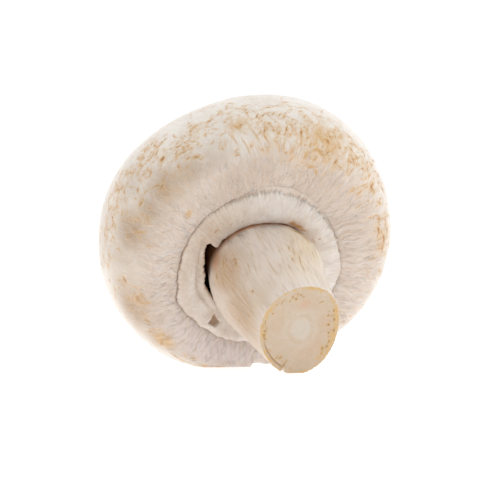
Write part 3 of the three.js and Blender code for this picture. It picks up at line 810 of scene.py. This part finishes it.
# Rusty skin with painted shade in the tear, fading down the stem.
in_tear = swell(stem_angle, **IN_TEAR) * (1 - ease(-stem_level, *IN_TEAR_ENDS))
crack_line = band(stem_angle, *SLIVER["across"]) * band(stem_share, *SLIVER_CRACK["line"])
paint(
    stem,
    mark=np.where(on_cut[:, None] > 0, cut_spots, side_spots),
    grain=stem_grain,
    on_cut=on_cut,
    share=stem_share,
    stain=(1 - on_cut) * field_cover(STEM_STAINS, stem_angle, -stem_level, stem_wide),
    golden=np.where(
        on_cut > 0, field_cover(CUT_GOLDEN, stem_angle, cut_wide, cut_wide),
        field_cover(STEM_YELLOW, stem_angle, -stem_level, stem_wide)
    ),
    ruddy=on_cut * field_cover(CUT_RUDDY, stem_angle, cut_wide, cut_wide),
    # Rusty skin with painted shade in the tear, and over the stem inside the hollow.
    in_tear=np.maximum(in_tear, 1 - ease(-stem_level, *BEHIND_VEIL_ENDS)),
    # Painted shadow under the veil's lip.
    under_lip=swell(stem_angle, **UNDER_LIP) * (1 - ease(-stem_level, *UNDER_LIP_ENDS)),
    crack=on_cut * crack_line,
)
STEM_CREAM = tone(229, 218, 208)
STEM_SHADE = tone(215, 200, 185)
STEM_TAN = tone(192, 160, 128)
STEM_GOLD = tone(228, 209, 176)
STEM_BROWN = tone(180, 120, 68)
STEM_RUST = tone(190, 128, 78)
CUT_TAN = tone(198, 177, 153)
CUT_PALE = tone(204, 192, 178)
CUT_SPECK = tone(188, 160, 126)
CUT_RED = tone(200, 164, 136)
CUT_GOLD = tone(206, 171, 114)
CUT_BROWN = tone(172, 130, 84)


def stem_flesh():
    flesh = Finish("stem_flesh", roughness=0.6, glow=0.2)
    place, grain, share = flesh.place(), flesh.painted("grain", "Vector"), flesh.painted("share")
    fibres = flesh.noise(grain, (0.22, 3.5), 3)
    mottle = flesh.noise(grain, (1.6, 5.0), 2)
    silk = flesh.sum(flesh.product(fibres, 1.4), mottle)
    side = flesh.blend(flesh.within(silk, 0.85, 1.35), STEM_SHADE, STEM_CREAM)
    golden, fuzzy = flesh.painted("golden"), flesh.within(fibres, 0.25, 0.7, 0.55, 1.0)
    side = flesh.blend(flesh.product(golden, flesh.product(fuzzy, 0.8)), side, STEM_GOLD)
    # Tan stains, which also paint shade on the stem's left side.
    side = flesh.blend(flesh.product(flesh.painted("stain"), fuzzy), side, STEM_TAN)
    # Painted shadow: brown on the stem under the veil's lip.
    side = flesh.blend(flesh.product(flesh.painted("under_lip"), 0.9), side, STEM_BROWN)
    # Rusty skin and painted shade in the tear and inside the hollow.
    side = flesh.blend(flesh.painted("in_tear"), side, STEM_RUST)
    wander = flesh.product(flesh.sum(flesh.noise(place, 1.1, 3), -0.5), 0.16)
    ring = flesh.sum(share, wander)
    cut = flesh.blend(flesh.within(ring, 0.18, 0.32), CUT_PALE, CUT_TAN)
    pale_ring = flesh.product(flesh.within(ring, 0.3, 0.38), flesh.within(ring, 0.38, 0.55, 1.0, 0.0))
    cut = flesh.blend(flesh.product(pale_ring, 0.5), cut, CUT_PALE)
    cut = flesh.blend(flesh.within(flesh.noise(place, 1.4, 4, 0.65), 0.4, 0.7, 0.0, 0.4), cut, CUT_PALE)
    cut = flesh.blend(flesh.within(flesh.noise(place, 0.2, 3), 0.35, 0.65, 0.0, 0.3), cut, CUT_PALE)
    cut = flesh.blend(flesh.within(flesh.noise(place, 0.4, 5, 0.7), 0.5, 0.68, 0.0, 0.4), cut, CUT_SPECK)
    cut = flesh.blend(flesh.painted("ruddy"), cut, CUT_RED)
    flaky = flesh.noise(place, 0.45, 5, 0.75)
    patchy = flesh.sum(golden, flesh.sum(flaky, flesh.product(flesh.noise(place, 0.9, 3), 1.2)))
    cut = flesh.blend(flesh.within(patchy, 1.5, 2.05, 0.0, 0.85), cut, CUT_GOLD)
    rim = flesh.within(flesh.sum(share, flesh.product(flesh.sum(flaky, -0.5), 0.5)), 0.955, 1.01)
    cut = flesh.blend(flesh.product(rim, 0.8), cut, CUT_GOLD)
    cut = flesh.blend(flesh.painted("crack"), cut, CUT_BROWN)
    colour = flesh.blend(flesh.painted("on_cut"), side, cut)
    ragged, strength = flesh.mark(place, 0.25, 1.2)
    smudge = flesh.product(flesh.within(ragged, 0.9, 3.6, 0.5, 0.0), strength)
    colour = flesh.blend(smudge, colour, CUT_GOLD)
    spots = flesh.product(flesh.within(ragged, 1.0, 1.8, 0.85, 0.0), strength)
    colour = flesh.blend(spots, colour, CUT_BROWN)
    dents = flesh.product(flesh.product(spots, flesh.painted("on_cut")), -1.0)
    grit = flesh.product(flesh.noise(place, 0.25, 3), flesh.painted("on_cut"))
    return flesh.coat(colour, (fibres, 0.018), (grit, 0.04), (dents, 0.08))


finish_piece(stem, stem_flesh(), "stem_flesh", "stem")


# Veil: a cottony ring of felted threads from the crease to the stem. It has torn free along one side
# of the stem, where its lip curls out, and its outer edge stands proud of the margin below.
VEIL_SECTORS = 1100
VEIL_WIDTH = 4.5
VEIL_SPACING = 0.17
VEIL_IN_CREASE = 0.1
VEIL_RIM_GAP = 0.1
VEIL_LIP_LEVEL = -0.9
# (share of the way in, level, share of the proud edge, share of the curled lip, share of the rolled
# strip, share of the rim, beyond, share of the fill where the crease gapes)
VEIL_SECTION = [
    (0, -0.62, 1, 0, 0, 1, 0, 0), (0, -0.3, 0.7, 0, 0, 0.8, 0, 0.3), (0, 0.25, 0.2, 0, 0, 0, 0, 1),
    (0, 1.3, 0, 0, 0, 0, 0.85, 0), (0, 1.75, 0, 0, 0, 0, 0.8, 0), (0.3, 0.75, 0, 0, 0, 0, 0, 0),
    (0.7, 0.42, 0, 0, 0, 0, 0, 0), (0.96, 0.3, 0, 0, 0, 0, 0, 0), (1, -0.15, 0, 0.6, 0.2, 0, 0, 0),
    (0.97, -0.62, 0, 1, 0.9, 0, 0, 0), (0.9, -0.9, 0, 0.8, 1, 0, 0, 0),
    (0.82, -1.0, 0, 0.5, 0.5, 0, 0, 0), (0.74, -1.08, 0, 0.3, -0.7, 0, 0, 0),
    (0.64, -1.2, 0, 0.15, 0, 0, 0, 0), (0.45, -1.32, 0.2, 0, 0, 0.4, 0, 0),
    (0.22, -1.24, 0.8, 0, 0, 0.9, 0, 0), (0.05, -0.98, 1, 0, 0, 1, 0, 0),
]
# How far the lip stands off the stem, in mm, at each angle. It has torn free between 145 and 210.
VEIL_TEAR = [
    (0, 0.05), (90, 0.1), (130, 0.1), (143, 0.1), (152, 0.3), (160, 0.62), (167, 0.8), (174, 0.65),
    (180, 0.95), (184, 1.08), (188, 0.95), (193, 1.4), (197, 1.75), (201, 1.95), (205, 1.9), (209.4, 1.5),
    (210.2, 0.7), (212.5, 0.25), (217, 0.06), (226, -0.1), (240, -0.12), (262, -0.12), (280, -0.14),
    (288, -0.14), (293, -0.1), (299, -0.1), (306, -0.05), (330, -0.1), (345, 0.0), (360, 0.05),
]
VEIL_FRAY = {"size": 0.5, "height": 0.13}
VEIL_FRAYED = {"at": 185, "half_width": 60}
VEIL_FRAY_LEAST = 0.3
VEIL_LIP = {"at": 172, "half_width": 75, "height": 0.3}
VEIL_TIP = {"at": 211.5, "half_width": 5, "height": 0.45}
VEIL_TOP_LIP = {"at": 262, "half_width": 40, "height": 0.2}
VEIL_TIP_LEAN = {"at": 211.5, "half_width": 4.5, "height": 4.2}
VEIL_STRIP = {"at": 166, "half_width": 42, "height": 0.5}
VEIL_EDGE = {"at": 106, "half_width": 48, "height": 0.65}
VEIL_FILL = {"out": 0.85, "down": 0.6}
VEIL_PROUD_RIGHT = {"at": 345, "half_width": 50, "height": 0.25}
# How far the rim wanders, and how far wisps of it reach over the crease where it gapes.
RIM_WANDER = {"size": 1.0, "height": 0.07}
WISPS = {"size": 0.2, "reach": 0.5, "between": (-0.1, 0.6)}
# A four-cornered hole where the threads parted, as (angle, mm from the axis) of its corners.
VEIL_HOLE = [(129.5, 9.35), (117.5, 9.95), (120, 11.1), (128, 11.4)]
HOLE_DEPTH = 0.55
HOLE_SIDE = 0.35
VEIL_UNDER_LEVEL = -0.4
COTTON = {"size": 1.5, "height": 0.11}
THREADS = {"size": (0.5, 2.0), "height": 0.03}
# Tan stains on the veil, which also paint shade on its upper left and along its rim, each (angle, mm
# from the axis, half width round, half width across, strength), and small marks as on the cap.
VEIL_STAINS = [
    (186, 9.4, 4.2, 0.8, 1.0), (200, 10.4, 2.0, 0.8, 0.5), (238, 8.2, 4.0, 0.6, 0.6),
    (262, 8.0, 3.0, 0.5, 0.5), (305, 8.8, 2.0, 0.9, 1.0), (326, 9.0, 2.8, 0.8, 0.8),
    (216, 11.0, 6.0, 3.0, 1.0), (160, 9.2, 3.0, 0.6, 0.7), (128, 9.6, 1.6, 0.7, 0.5),
    (245, 10.6, 5.0, 1.6, 0.25), (176, 12.1, 6.0, 0.8, 0.7), (200, 12.2, 4.0, 0.8, 0.6),
    (156, 12.2, 3.0, 0.8, 0.5),
]
VEIL_MARKS = [
    (219, 10.5, 0.8, 0.35, 90, 0.9), (220, 10.4, 0.4, 0.25, 30, 0.7), (233, 9.7, 0.7, 0.4, 70, 0.6),
    (222, 12.1, 0.9, 0.16, 90, 0.6), (195, 12.3, 1.2, 0.12, 15, 0.5), (243, 9.0, 0.6, 0.25, 60, 0.5),
    (299, 8.7, 1.5, 0.8, 80, 1.0), (306, 8.85, 1.8, 0.7, 70, 1.0), (313, 8.9, 1.2, 0.4, 60, 0.9),
    (330, 9.4, 1.2, 0.25, 80, 0.5), (186, 11.9, 1.5, 0.1, 70, 0.4), (147, 11.2, 0.8, 0.14, 20, 0.4),
    (136, 10.9, 0.9, 0.14, 80, 0.5), (330, 10.3, 0.5, 0.3, 10, 0.8), (112, 11.6, 0.6, 0.2, 60, 0.4),
]
VEIL_WHITE = tone(224, 217, 210)
VEIL_SHADE = tone(210, 199, 189)
VEIL_TAN = tone(190, 165, 139)
LIP_TAN = tone(198, 158, 114)
VEIL_BROWN = tone(180, 132, 82)
HOLE_TAN = tone(152, 118, 90)


def veil_section():
    """The section as a smooth closed line, drawn on a veil of its usual width."""
    knots = np.array(VEIL_SECTION)
    knots[:, 0] *= -VEIL_WIDTH
    closed = np.vstack([knots[-2:], knots, knots[:3]])
    line = flowing(closed, VEIL_SPACING)
    # The line runs past its start, so the first and the last point like the first knot are its ends.
    later = np.arange(len(line)) * 1e-6
    off_knot = np.abs(line - knots[0]).sum(axis=1)
    return line[np.argmin(off_knot + later):np.argmin(off_knot - later)]


def hole_depth(angle, radius):
    """How deep the hole is at each point: 0 outside its sides, and deep just within them."""
    spot = round_axis(radius, angle, np.zeros(len(angle)))[:, :2]
    corners = [round_axis(far, at, 0.0)[:2] for at, far in VEIL_HOLE]
    inside = np.full(len(angle), np.inf)
    for a, b in zip(corners, corners[1:] + corners[:1]):
        inward = np.array([a[1] - b[1], b[0] - a[0]]) / math.dist(a, b)
        inside = np.minimum(inside, (spot - a) @ inward)
    return ease(inside, 0.0, HOLE_SIDE)


def rim_radius(angle):
    return crease_radius(angle) - VEIL_RIM_GAP


def proud_edge(angle):
    """How far the veil's outer edge stands out from the crease."""
    return swell(angle, **VEIL_EDGE) + swell(angle, **VEIL_PROUD_RIGHT)


veil_line = veil_section()
drawn_veil = np.vstack([veil_line, veil_line[:1]])
drawn_veil[:, 0] += DRAWN_RADIUS + VEIL_WIDTH
veil, veil_row, veil_angle = turned("veil_dressed", drawn_veil, VEIL_SECTORS)
veil_row %= len(veil_line)
across, veil_level, edge, lip, strip, rim_share, beyond, fill = veil_line[veil_row].T
across = across / -VEIL_WIDTH
round_spot = round_axis(VEIL_WIDTH * 2, veil_angle, veil_angle * 0)
fray = lumps(round_spot, **VEIL_FRAY) * (VEIL_FRAY_LEAST + swell(veil_angle, **VEIL_FRAYED))
tear = np.interp(veil_angle, *np.transpose(VEIL_TEAR)) + fray
in_crease = crease_radius(veil_angle) + VEIL_IN_CREASE
rim = rim_radius(veil_angle) + lumps(round_spot, **RIM_WANDER)
wisps = ease(lumps(round_spot, WISPS["size"]), *WISPS["between"])
rim += WISPS["reach"] * wisps * swell(veil_angle, **CREASE_OPEN, power=1)
fill = fill * swell(veil_angle, **CREASE_OPEN)
veil_outer = in_crease + rim_share * (rim - in_crease) + fill * VEIL_FILL["out"]
veil_inner = stem_radius(veil_angle, np.full(veil_angle.shape, VEIL_LIP_LEVEL)) + tear
proud = edge * proud_edge(veil_angle) + strip * swell(veil_angle, **VEIL_STRIP)
for curl in (VEIL_LIP, VEIL_TIP, VEIL_TOP_LIP):
    proud += lip * swell(veil_angle, **curl)
veil_radius = veil_outer + (veil_inner - veil_outer) * across + beyond
under_side = veil_level < VEIL_UNDER_LEVEL
hole = hole_depth(veil_angle, veil_radius) * under_side
leaning = veil_angle - lip * swell(veil_angle, **VEIL_TIP_LEAN)
veil_level = veil_level - proud - fill * VEIL_FILL["down"] + HOLE_DEPTH * hole
veil_place = round_axis(veil_radius, leaning, veil_level)
set_points(veil, laid_down(veil_place))
VEIL_GRAIN_RADIUS = 11.0
veil_grain = round_axis(VEIL_GRAIN_RADIUS, veil_angle, across * VEIL_WIDTH)
raise_relief(veil, lumps(veil_place, **COTTON) + lumps(veil_grain, **THREADS))
veil_spots = mark_spots(VEIL_MARKS, veil_angle, veil_radius, veil_radius)
veil_spots[:, 2] *= under_side
paint(
    veil,
    grain=veil_grain,
    across=across,
    hole=hole,
    browned=swell(veil_angle, **CREASE_BROWNED),
    stain=under_side * field_cover(VEIL_STAINS, veil_angle, veil_radius, veil_radius),
    mark=veil_spots,
)


def veil_felt():
    felt = Finish("veil_felt", roughness=0.75, glow=0.15)
    place, grain, across_way = felt.place(), felt.painted("grain", "Vector"), felt.painted("across")
    threads = felt.noise(grain, (0.26, 1.2), 3)
    cloudy = felt.sum(felt.product(threads, 0.8), felt.noise(place, 2.0, 3))
    colour = felt.blend(felt.within(cloudy, 0.65, 1.15), VEIL_SHADE, VEIL_WHITE)
    # Tan stains, which also paint shade on the veil's upper left and along its rim.
    stained = felt.product(felt.painted("stain"), felt.within(threads, 0.2, 0.7, 0.5, 1.0))
    colour = felt.blend(felt.product(stained, 0.8), colour, VEIL_TAN)
    # The frayed lip is tan, with a painted brown shadow under its edge.
    frayed = felt.sum(across_way, felt.product(felt.noise(place, 0.7, 3), 0.14))
    colour = felt.blend(felt.within(frayed, 0.99, 1.08, 0.0, 0.8), colour, LIP_TAN)
    # Painted shade in the crease at the veil's outer edge: tan, and brown along one side.
    edge_way = felt.sum(across_way, felt.product(felt.noise(place, 0.6, 2), 0.05))
    line = felt.within(edge_way, 0.0, 0.055, 0.85, 0.0)
    crossing = felt.blend(felt.within(threads, 0.45, 0.7), CREASE_TAN, VEIL_SHADE)
    colour = felt.blend(line, colour, crossing)
    brown_line = felt.product(felt.painted("browned"), felt.within(edge_way, 0.0, 0.09, 1.0, 0.0))
    colour = felt.blend(brown_line, colour, CREASE_BROWN)
    ragged, strength = felt.mark(place, 0.25, 1.2)
    spots = felt.product(felt.within(ragged, 1.0, 1.9, 0.85, 0.0), strength)
    colour = felt.blend(spots, colour, VEIL_BROWN)
    # The shallow hole is painted as tan tissue with painted shade.
    colour = felt.blend(felt.product(felt.painted("hole"), 0.85), colour, HOLE_TAN)
    return felt.coat(colour, (threads, 0.03), (felt.noise(place, 0.35, 3), 0.04))


finish_piece(veil, veil_felt(), "veil_felt", "veil")


# Hairs: fine pale threads of the felt. Some lie on the margin, tufts of them cross the crease from the
# veil, which tore free of the cap as it grew, and silky ones run down the stem from under the lip.
HAIR_POINTS = 5
HAIR_TIP = 0.35
HAIR_PALE = tone(236, 227, 216)
HAIR_CREAM = tone(226, 212, 197)
# A width is the usual one in mm, and the shares of it that the thinnest and the thickest hair have.
FELT_HAIRS = 3600
FELT_HAIR_LENGTH = (0.7, 1.8)
FELT_HAIR_FROM = {"low": 0.8, "high": 8.0, "crowding": 1.4}
FELT_HAIR_ENDS = 0.4
FELT_HAIR_DRIFT = 2.2
FELT_HAIR_CURL = 1.2
FELT_HAIR_LIFT = (0.01, 0.06)
FELT_HAIR_SUNK = 0.015
FELT_HAIR_WIDTH = (0.04, 0.6, 1.2)
CREASE_TUFTS = 60
TUFT_TRIES = 3
TUFT_HAIRS = 7
TUFT_CHANCE = {"closed": 0.16, "gaping": 0.84}
TUFT_LENGTH = (0.1, 0.8)
TUFT_SHARE = {"closed": 0.4, "gaping": 0.6, "between": (0.6, 1.1)}
TUFT_LEAN = (2, 2)
TUFT_ROOTS = {"spread": 1.3, "inward": (0.15, 1.0), "level": -0.88, "slope": 0.3, "slope_over": (0.1, 0.9)}
TUFT_TIPS = {"spread": 0.45, "from_crease": 0.2, "lift": (0.0, 0.2)}
TUFT_SAG = (0.0, 0.2)
TUFT_WIDTH = (0.05, 0.6, 1.4)
STEM_HAIRS = 500
STEM_HAIR_FROM = (1.5, 15.5)
LIP_HAIRS = 300
LIP_HAIR_AT = (255, 24)
LIP_HAIR_FROM = (0.9, 2.2)
STEM_HAIR_LENGTH = (1.0, 3.0)
STEM_HAIR_DRIFT = 2.0
STEM_HAIR_LIFT = (0.01, 0.05)
STEM_HAIR_CLEAR = 0.005
STEM_HAIR_WIDTH = (0.035, 0.5, 1.2)
hair_draw = np.random.default_rng(11)


def grow_hairs(name, paths, width, slot):
    """A piece of many hairs. A path is a row of points in mm, and each hair thins to its tip."""
    usual, *spread = width
    count, steps = paths.shape[:2]
    thick = usual * hair_draw.uniform(*spread, count)
    ahead = np.gradient(paths, axis=1)
    ahead /= np.linalg.norm(ahead, axis=2, keepdims=True)
    aside = np.cross(ahead, paths * (1, 1, 0) + (0, 0, 1e-3))
    aside /= np.linalg.norm(aside, axis=2, keepdims=True)
    above = np.cross(ahead, aside)
    thin = (thick[:, None] * np.linspace(1, HAIR_TIP, steps))[..., None] / 2
    rings = [
        paths + thin * (math.cos(turn) * aside + math.sin(turn) * above)
        for turn in (0, math.tau / 3, 2 * math.tau / 3)
    ]
    sides = np.stack(rings, axis=2)[:, :-1].reshape(count, -1, 3)
    spots = np.concatenate([sides, paths[:, -1:]], axis=1)
    last = 3 * (steps - 1)
    faces = [(0, 2, 1)]
    for ring in range(steps - 2):
        for k in range(3):
            a, b = 3 * ring + k, 3 * ring + (k + 1) % 3
            faces += [(a, b, b + 3), (a, b + 3, a + 3)]
    faces += [(last - 3 + k, last - 3 + (k + 1) % 3, last) for k in range(3)]
    all_faces = np.array(faces)[None] + (np.arange(count) * (last + 1))[:, None, None]
    mesh = bpy.data.meshes.new(name)
    mesh.from_pydata(laid_down(spots.reshape(-1, 3)).tolist(), [], all_faces.reshape(-1, 3).tolist())
    piece = bpy.data.objects.new(name, mesh)
    bpy.context.scene.collection.objects.link(piece)
    finish_piece(piece, hair_pale, slot)


def above_cap(along, angle, lift):
    """Points at a lift in mm above the skin."""
    here = cap_spot(along, angle)
    step = 0.05
    up_grain = cap_spot(along + step, angle) - here
    round_way = cap_spot(along, angle + step) - here
    outward = np.cross(round_way, up_grain)
    outward /= np.linalg.norm(outward, axis=-1, keepdims=True)
    return here + outward * (cap_relief(along, angle) + lift)[:, None]


def hair_finish():
    hair = Finish("felt_hair", roughness=0.7, glow=0.5)
    return hair.coat(hair.blend(hair.noise(hair.place(), 2.0), HAIR_CREAM, HAIR_PALE))


hair_pale = hair_finish()
run = np.linspace(0, 1, HAIR_POINTS)
arch = np.sin(run * math.pi)

# On the margin they lie towards the crease.
hair_at = hair_draw.uniform(0, 360, FELT_HAIRS)
hair_from = hair_draw.random(FELT_HAIRS) ** FELT_HAIR_FROM["crowding"]
hair_from = FELT_HAIR_FROM["low"] + (FELT_HAIR_FROM["high"] - FELT_HAIR_FROM["low"]) * hair_from
hair_long = hair_draw.uniform(*FELT_HAIR_LENGTH, FELT_HAIRS)
hair_drift = hair_draw.normal(0, FELT_HAIR_DRIFT, FELT_HAIRS)
hair_curl = hair_draw.normal(0, FELT_HAIR_CURL, FELT_HAIRS)
hair_lift = hair_draw.uniform(*FELT_HAIR_LIFT, FELT_HAIRS)
hair_along = np.maximum(hair_from[:, None] - hair_long[:, None] * run, FELT_HAIR_ENDS)
hair_angle = hair_at[:, None] + hair_drift[:, None] * run + hair_curl[:, None] * run ** 2
hair_height = hair_lift[:, None] * arch - FELT_HAIR_SUNK
felt_paths = above_cap(hair_along.ravel(), hair_angle.ravel(), hair_height.ravel())
felt_paths = felt_paths.reshape(FELT_HAIRS, HAIR_POINTS, 3)
grow_hairs("felt_hairs", felt_paths, FELT_HAIR_WIDTH, "cap_skin")

# Over the crease they reach out from the veil's shoulder, drawn together into tufts.
tuft_at = hair_draw.uniform(0, 360, CREASE_TUFTS * TUFT_TRIES)
chance = TUFT_CHANCE["closed"] + TUFT_CHANCE["gaping"] * swell(tuft_at, **CREASE_OPEN)
tuft_at = tuft_at[hair_draw.random(len(tuft_at)) < chance][:CREASE_TUFTS].repeat(TUFT_HAIRS)
tuft_count = len(tuft_at)
tufts = tuft_count // TUFT_HAIRS
tuft_long = hair_draw.uniform(*TUFT_LENGTH, tufts).repeat(TUFT_HAIRS)
tuft_long = tuft_long * (TUFT_SHARE["closed"] + TUFT_SHARE["gaping"] * swell(tuft_at, **CREASE_OPEN))
tuft_long = tuft_long * hair_draw.uniform(*TUFT_SHARE["between"], tuft_count)
tuft_lean = hair_draw.normal(*TUFT_LEAN, tufts).repeat(TUFT_HAIRS)
root_angle = tuft_at + hair_draw.normal(0, TUFT_ROOTS["spread"], tuft_count)
tip_angle = tuft_at + tuft_lean + hair_draw.normal(0, TUFT_TIPS["spread"], tuft_count)
shoulder = hair_draw.uniform(*TUFT_ROOTS["inward"], tuft_count)
root_level = TUFT_ROOTS["level"] - TUFT_ROOTS["slope"] * ease(shoulder, *TUFT_ROOTS["slope_over"])
root = round_axis(rim_radius(root_angle) - shoulder, root_angle, root_level - proud_edge(root_angle))
tip_lift = hair_draw.uniform(*TUFT_TIPS["lift"], tuft_count)
tip = above_cap(TUFT_TIPS["from_crease"] + tuft_long, tip_angle, tip_lift)
tuft_paths = root[:, None] + (tip - root)[:, None] * run[None, :, None]
tuft_paths[..., 2] -= arch * hair_draw.uniform(*TUFT_SAG, (tuft_count, 1))
grow_hairs("crease_hairs", tuft_paths, TUFT_WIDTH, "veil_felt")

# On the stem they run towards the cut.
silk_at = [hair_draw.uniform(0, 360, STEM_HAIRS), hair_draw.normal(*LIP_HAIR_AT, LIP_HAIRS)]
silk_from = [hair_draw.uniform(*STEM_HAIR_FROM, STEM_HAIRS), hair_draw.uniform(*LIP_HAIR_FROM, LIP_HAIRS)]
silk_at, silk_from = np.concatenate(silk_at)[:, None], np.concatenate(silk_from)[:, None]
silk_count = len(silk_at)
silk_long = hair_draw.uniform(*STEM_HAIR_LENGTH, silk_count)[:, None]
silk_level = -silk_from - silk_long * run
silk_angle = silk_at + hair_draw.normal(0, STEM_HAIR_DRIFT, (silk_count, 1)) * run
silk_lift = hair_draw.uniform(*STEM_HAIR_LIFT, (silk_count, 1)) * arch + STEM_HAIR_CLEAR
silk_paths = stem_spot(np.ones(silk_level.shape), silk_level, silk_angle)
silk_paths = silk_paths + round_axis(silk_lift, silk_angle, silk_level * 0)
grow_hairs("stem_hairs", silk_paths, STEM_HAIR_WIDTH, "stem_flesh")


# The studio: a white table that runs out of sight, under a dome with five soft lights. One is
# overhead, two are behind the mushroom and two in front, of which the right one is the stronger.
VIEW_AZIMUTH = math.radians(-21.98)
VIEW_ELEVATION = math.radians(0.6)
VIEW_DISTANCE = 600 * MM
VIEW_OFFSET = (2.459 * MM, -3.982 * MM)
PIXELS_PER_MM = 6.63
FRAME_PIXELS = 480
SENSOR_WIDTH = 36
back = Vector((
    math.sin(VIEW_AZIMUTH) * math.cos(VIEW_ELEVATION),
    -math.cos(VIEW_AZIMUTH) * math.cos(VIEW_ELEVATION),
    math.sin(VIEW_ELEVATION),
))
right = Vector((math.cos(VIEW_AZIMUTH), math.sin(VIEW_AZIMUTH), 0))
up = back.cross(right)
target = CREASE_CENTRE - right * VIEW_OFFSET[0] - up * VIEW_OFFSET[1]
bpy.ops.object.camera_add(location=target + back * VIEW_DISTANCE)
camera = bpy.context.active_object
camera.rotation_euler = Matrix((right, up, back)).transposed().to_euler()
camera.data.sensor_width = SENSOR_WIDTH
camera.data.lens = PIXELS_PER_MM * VIEW_DISTANCE / MM / FRAME_PIXELS * SENSOR_WIDTH
camera.data.clip_start = 0.01
bpy.context.scene.camera = camera

TABLE_SIZE = 8
TABLE_GLOW = 0.58
bpy.ops.object.select_all(action="DESELECT")
bpy.ops.mesh.primitive_plane_add(size=TABLE_SIZE, location=(0, 0, 0))
table = bpy.context.active_object
table.name = "table"
table_white = bpy.data.materials.new("table_white")
table_white.use_nodes = True
table_shader = table_white.node_tree.nodes["Principled BSDF"]
table_shader.inputs["Base Color"].default_value = (0.85, 0.85, 0.85, 1)
table_shader.inputs["Roughness"].default_value = 0.9
table_shader.inputs["Specular IOR Level"].default_value = 0.0
table_shader.inputs["Emission Color"].default_value = (1, 1, 1, 1)
table_shader.inputs["Emission Strength"].default_value = TABLE_GLOW
table.data.materials.append(table_white)

# Soft lights of the dome, each (how far behind, to the right and up it stands, strength).
DOME_LIGHTS = [
    (0.0, 0.0, 1.0, 0.46), (0.71, 0.0, 0.71, 0.6), (0.96, 0.0, 0.29, 0.46), (-0.67, 0.67, 0.29, 0.43),
    (-0.67, -0.67, 0.29, 0.13),
]
DOME_LIGHT_EDGE = (0.0, 0.8)
world = bpy.data.worlds.new("studio")
world.use_nodes = True
dome = world.node_tree
look_way = dome.nodes.new("ShaderNodeTexCoord").outputs["Generated"]
brightness = None
for behind, to_right, height, light in DOME_LIGHTS:
    facing = dome.nodes.new("ShaderNodeVectorMath")
    facing.operation = "DOT_PRODUCT"
    facing.inputs[1].default_value = right * to_right + up * height - back * behind
    soft = dome.nodes.new("ShaderNodeMapRange")
    soft.interpolation_type = "SMOOTHSTEP"
    soft.inputs["From Min"].default_value, soft.inputs["From Max"].default_value = DOME_LIGHT_EDGE
    soft.inputs["To Max"].default_value = light
    dome.links.new(look_way, facing.inputs[0])
    dome.links.new(facing.outputs["Value"], soft.inputs["Value"])
    total = soft.outputs["Result"]
    if brightness is not None:
        adding = dome.nodes.new("ShaderNodeMath")
        dome.links.new(total, adding.inputs[0])
        dome.links.new(brightness, adding.inputs[1])
        total = adding.outputs["Value"]
    brightness = total
dome.links.new(brightness, dome.nodes["Background"].inputs["Strength"])
dome.nodes["Background"].inputs["Color"].default_value = (1, 1, 1, 1)
bpy.context.scene.world = world
bpy.context.scene.view_settings.view_transform = "Standard"
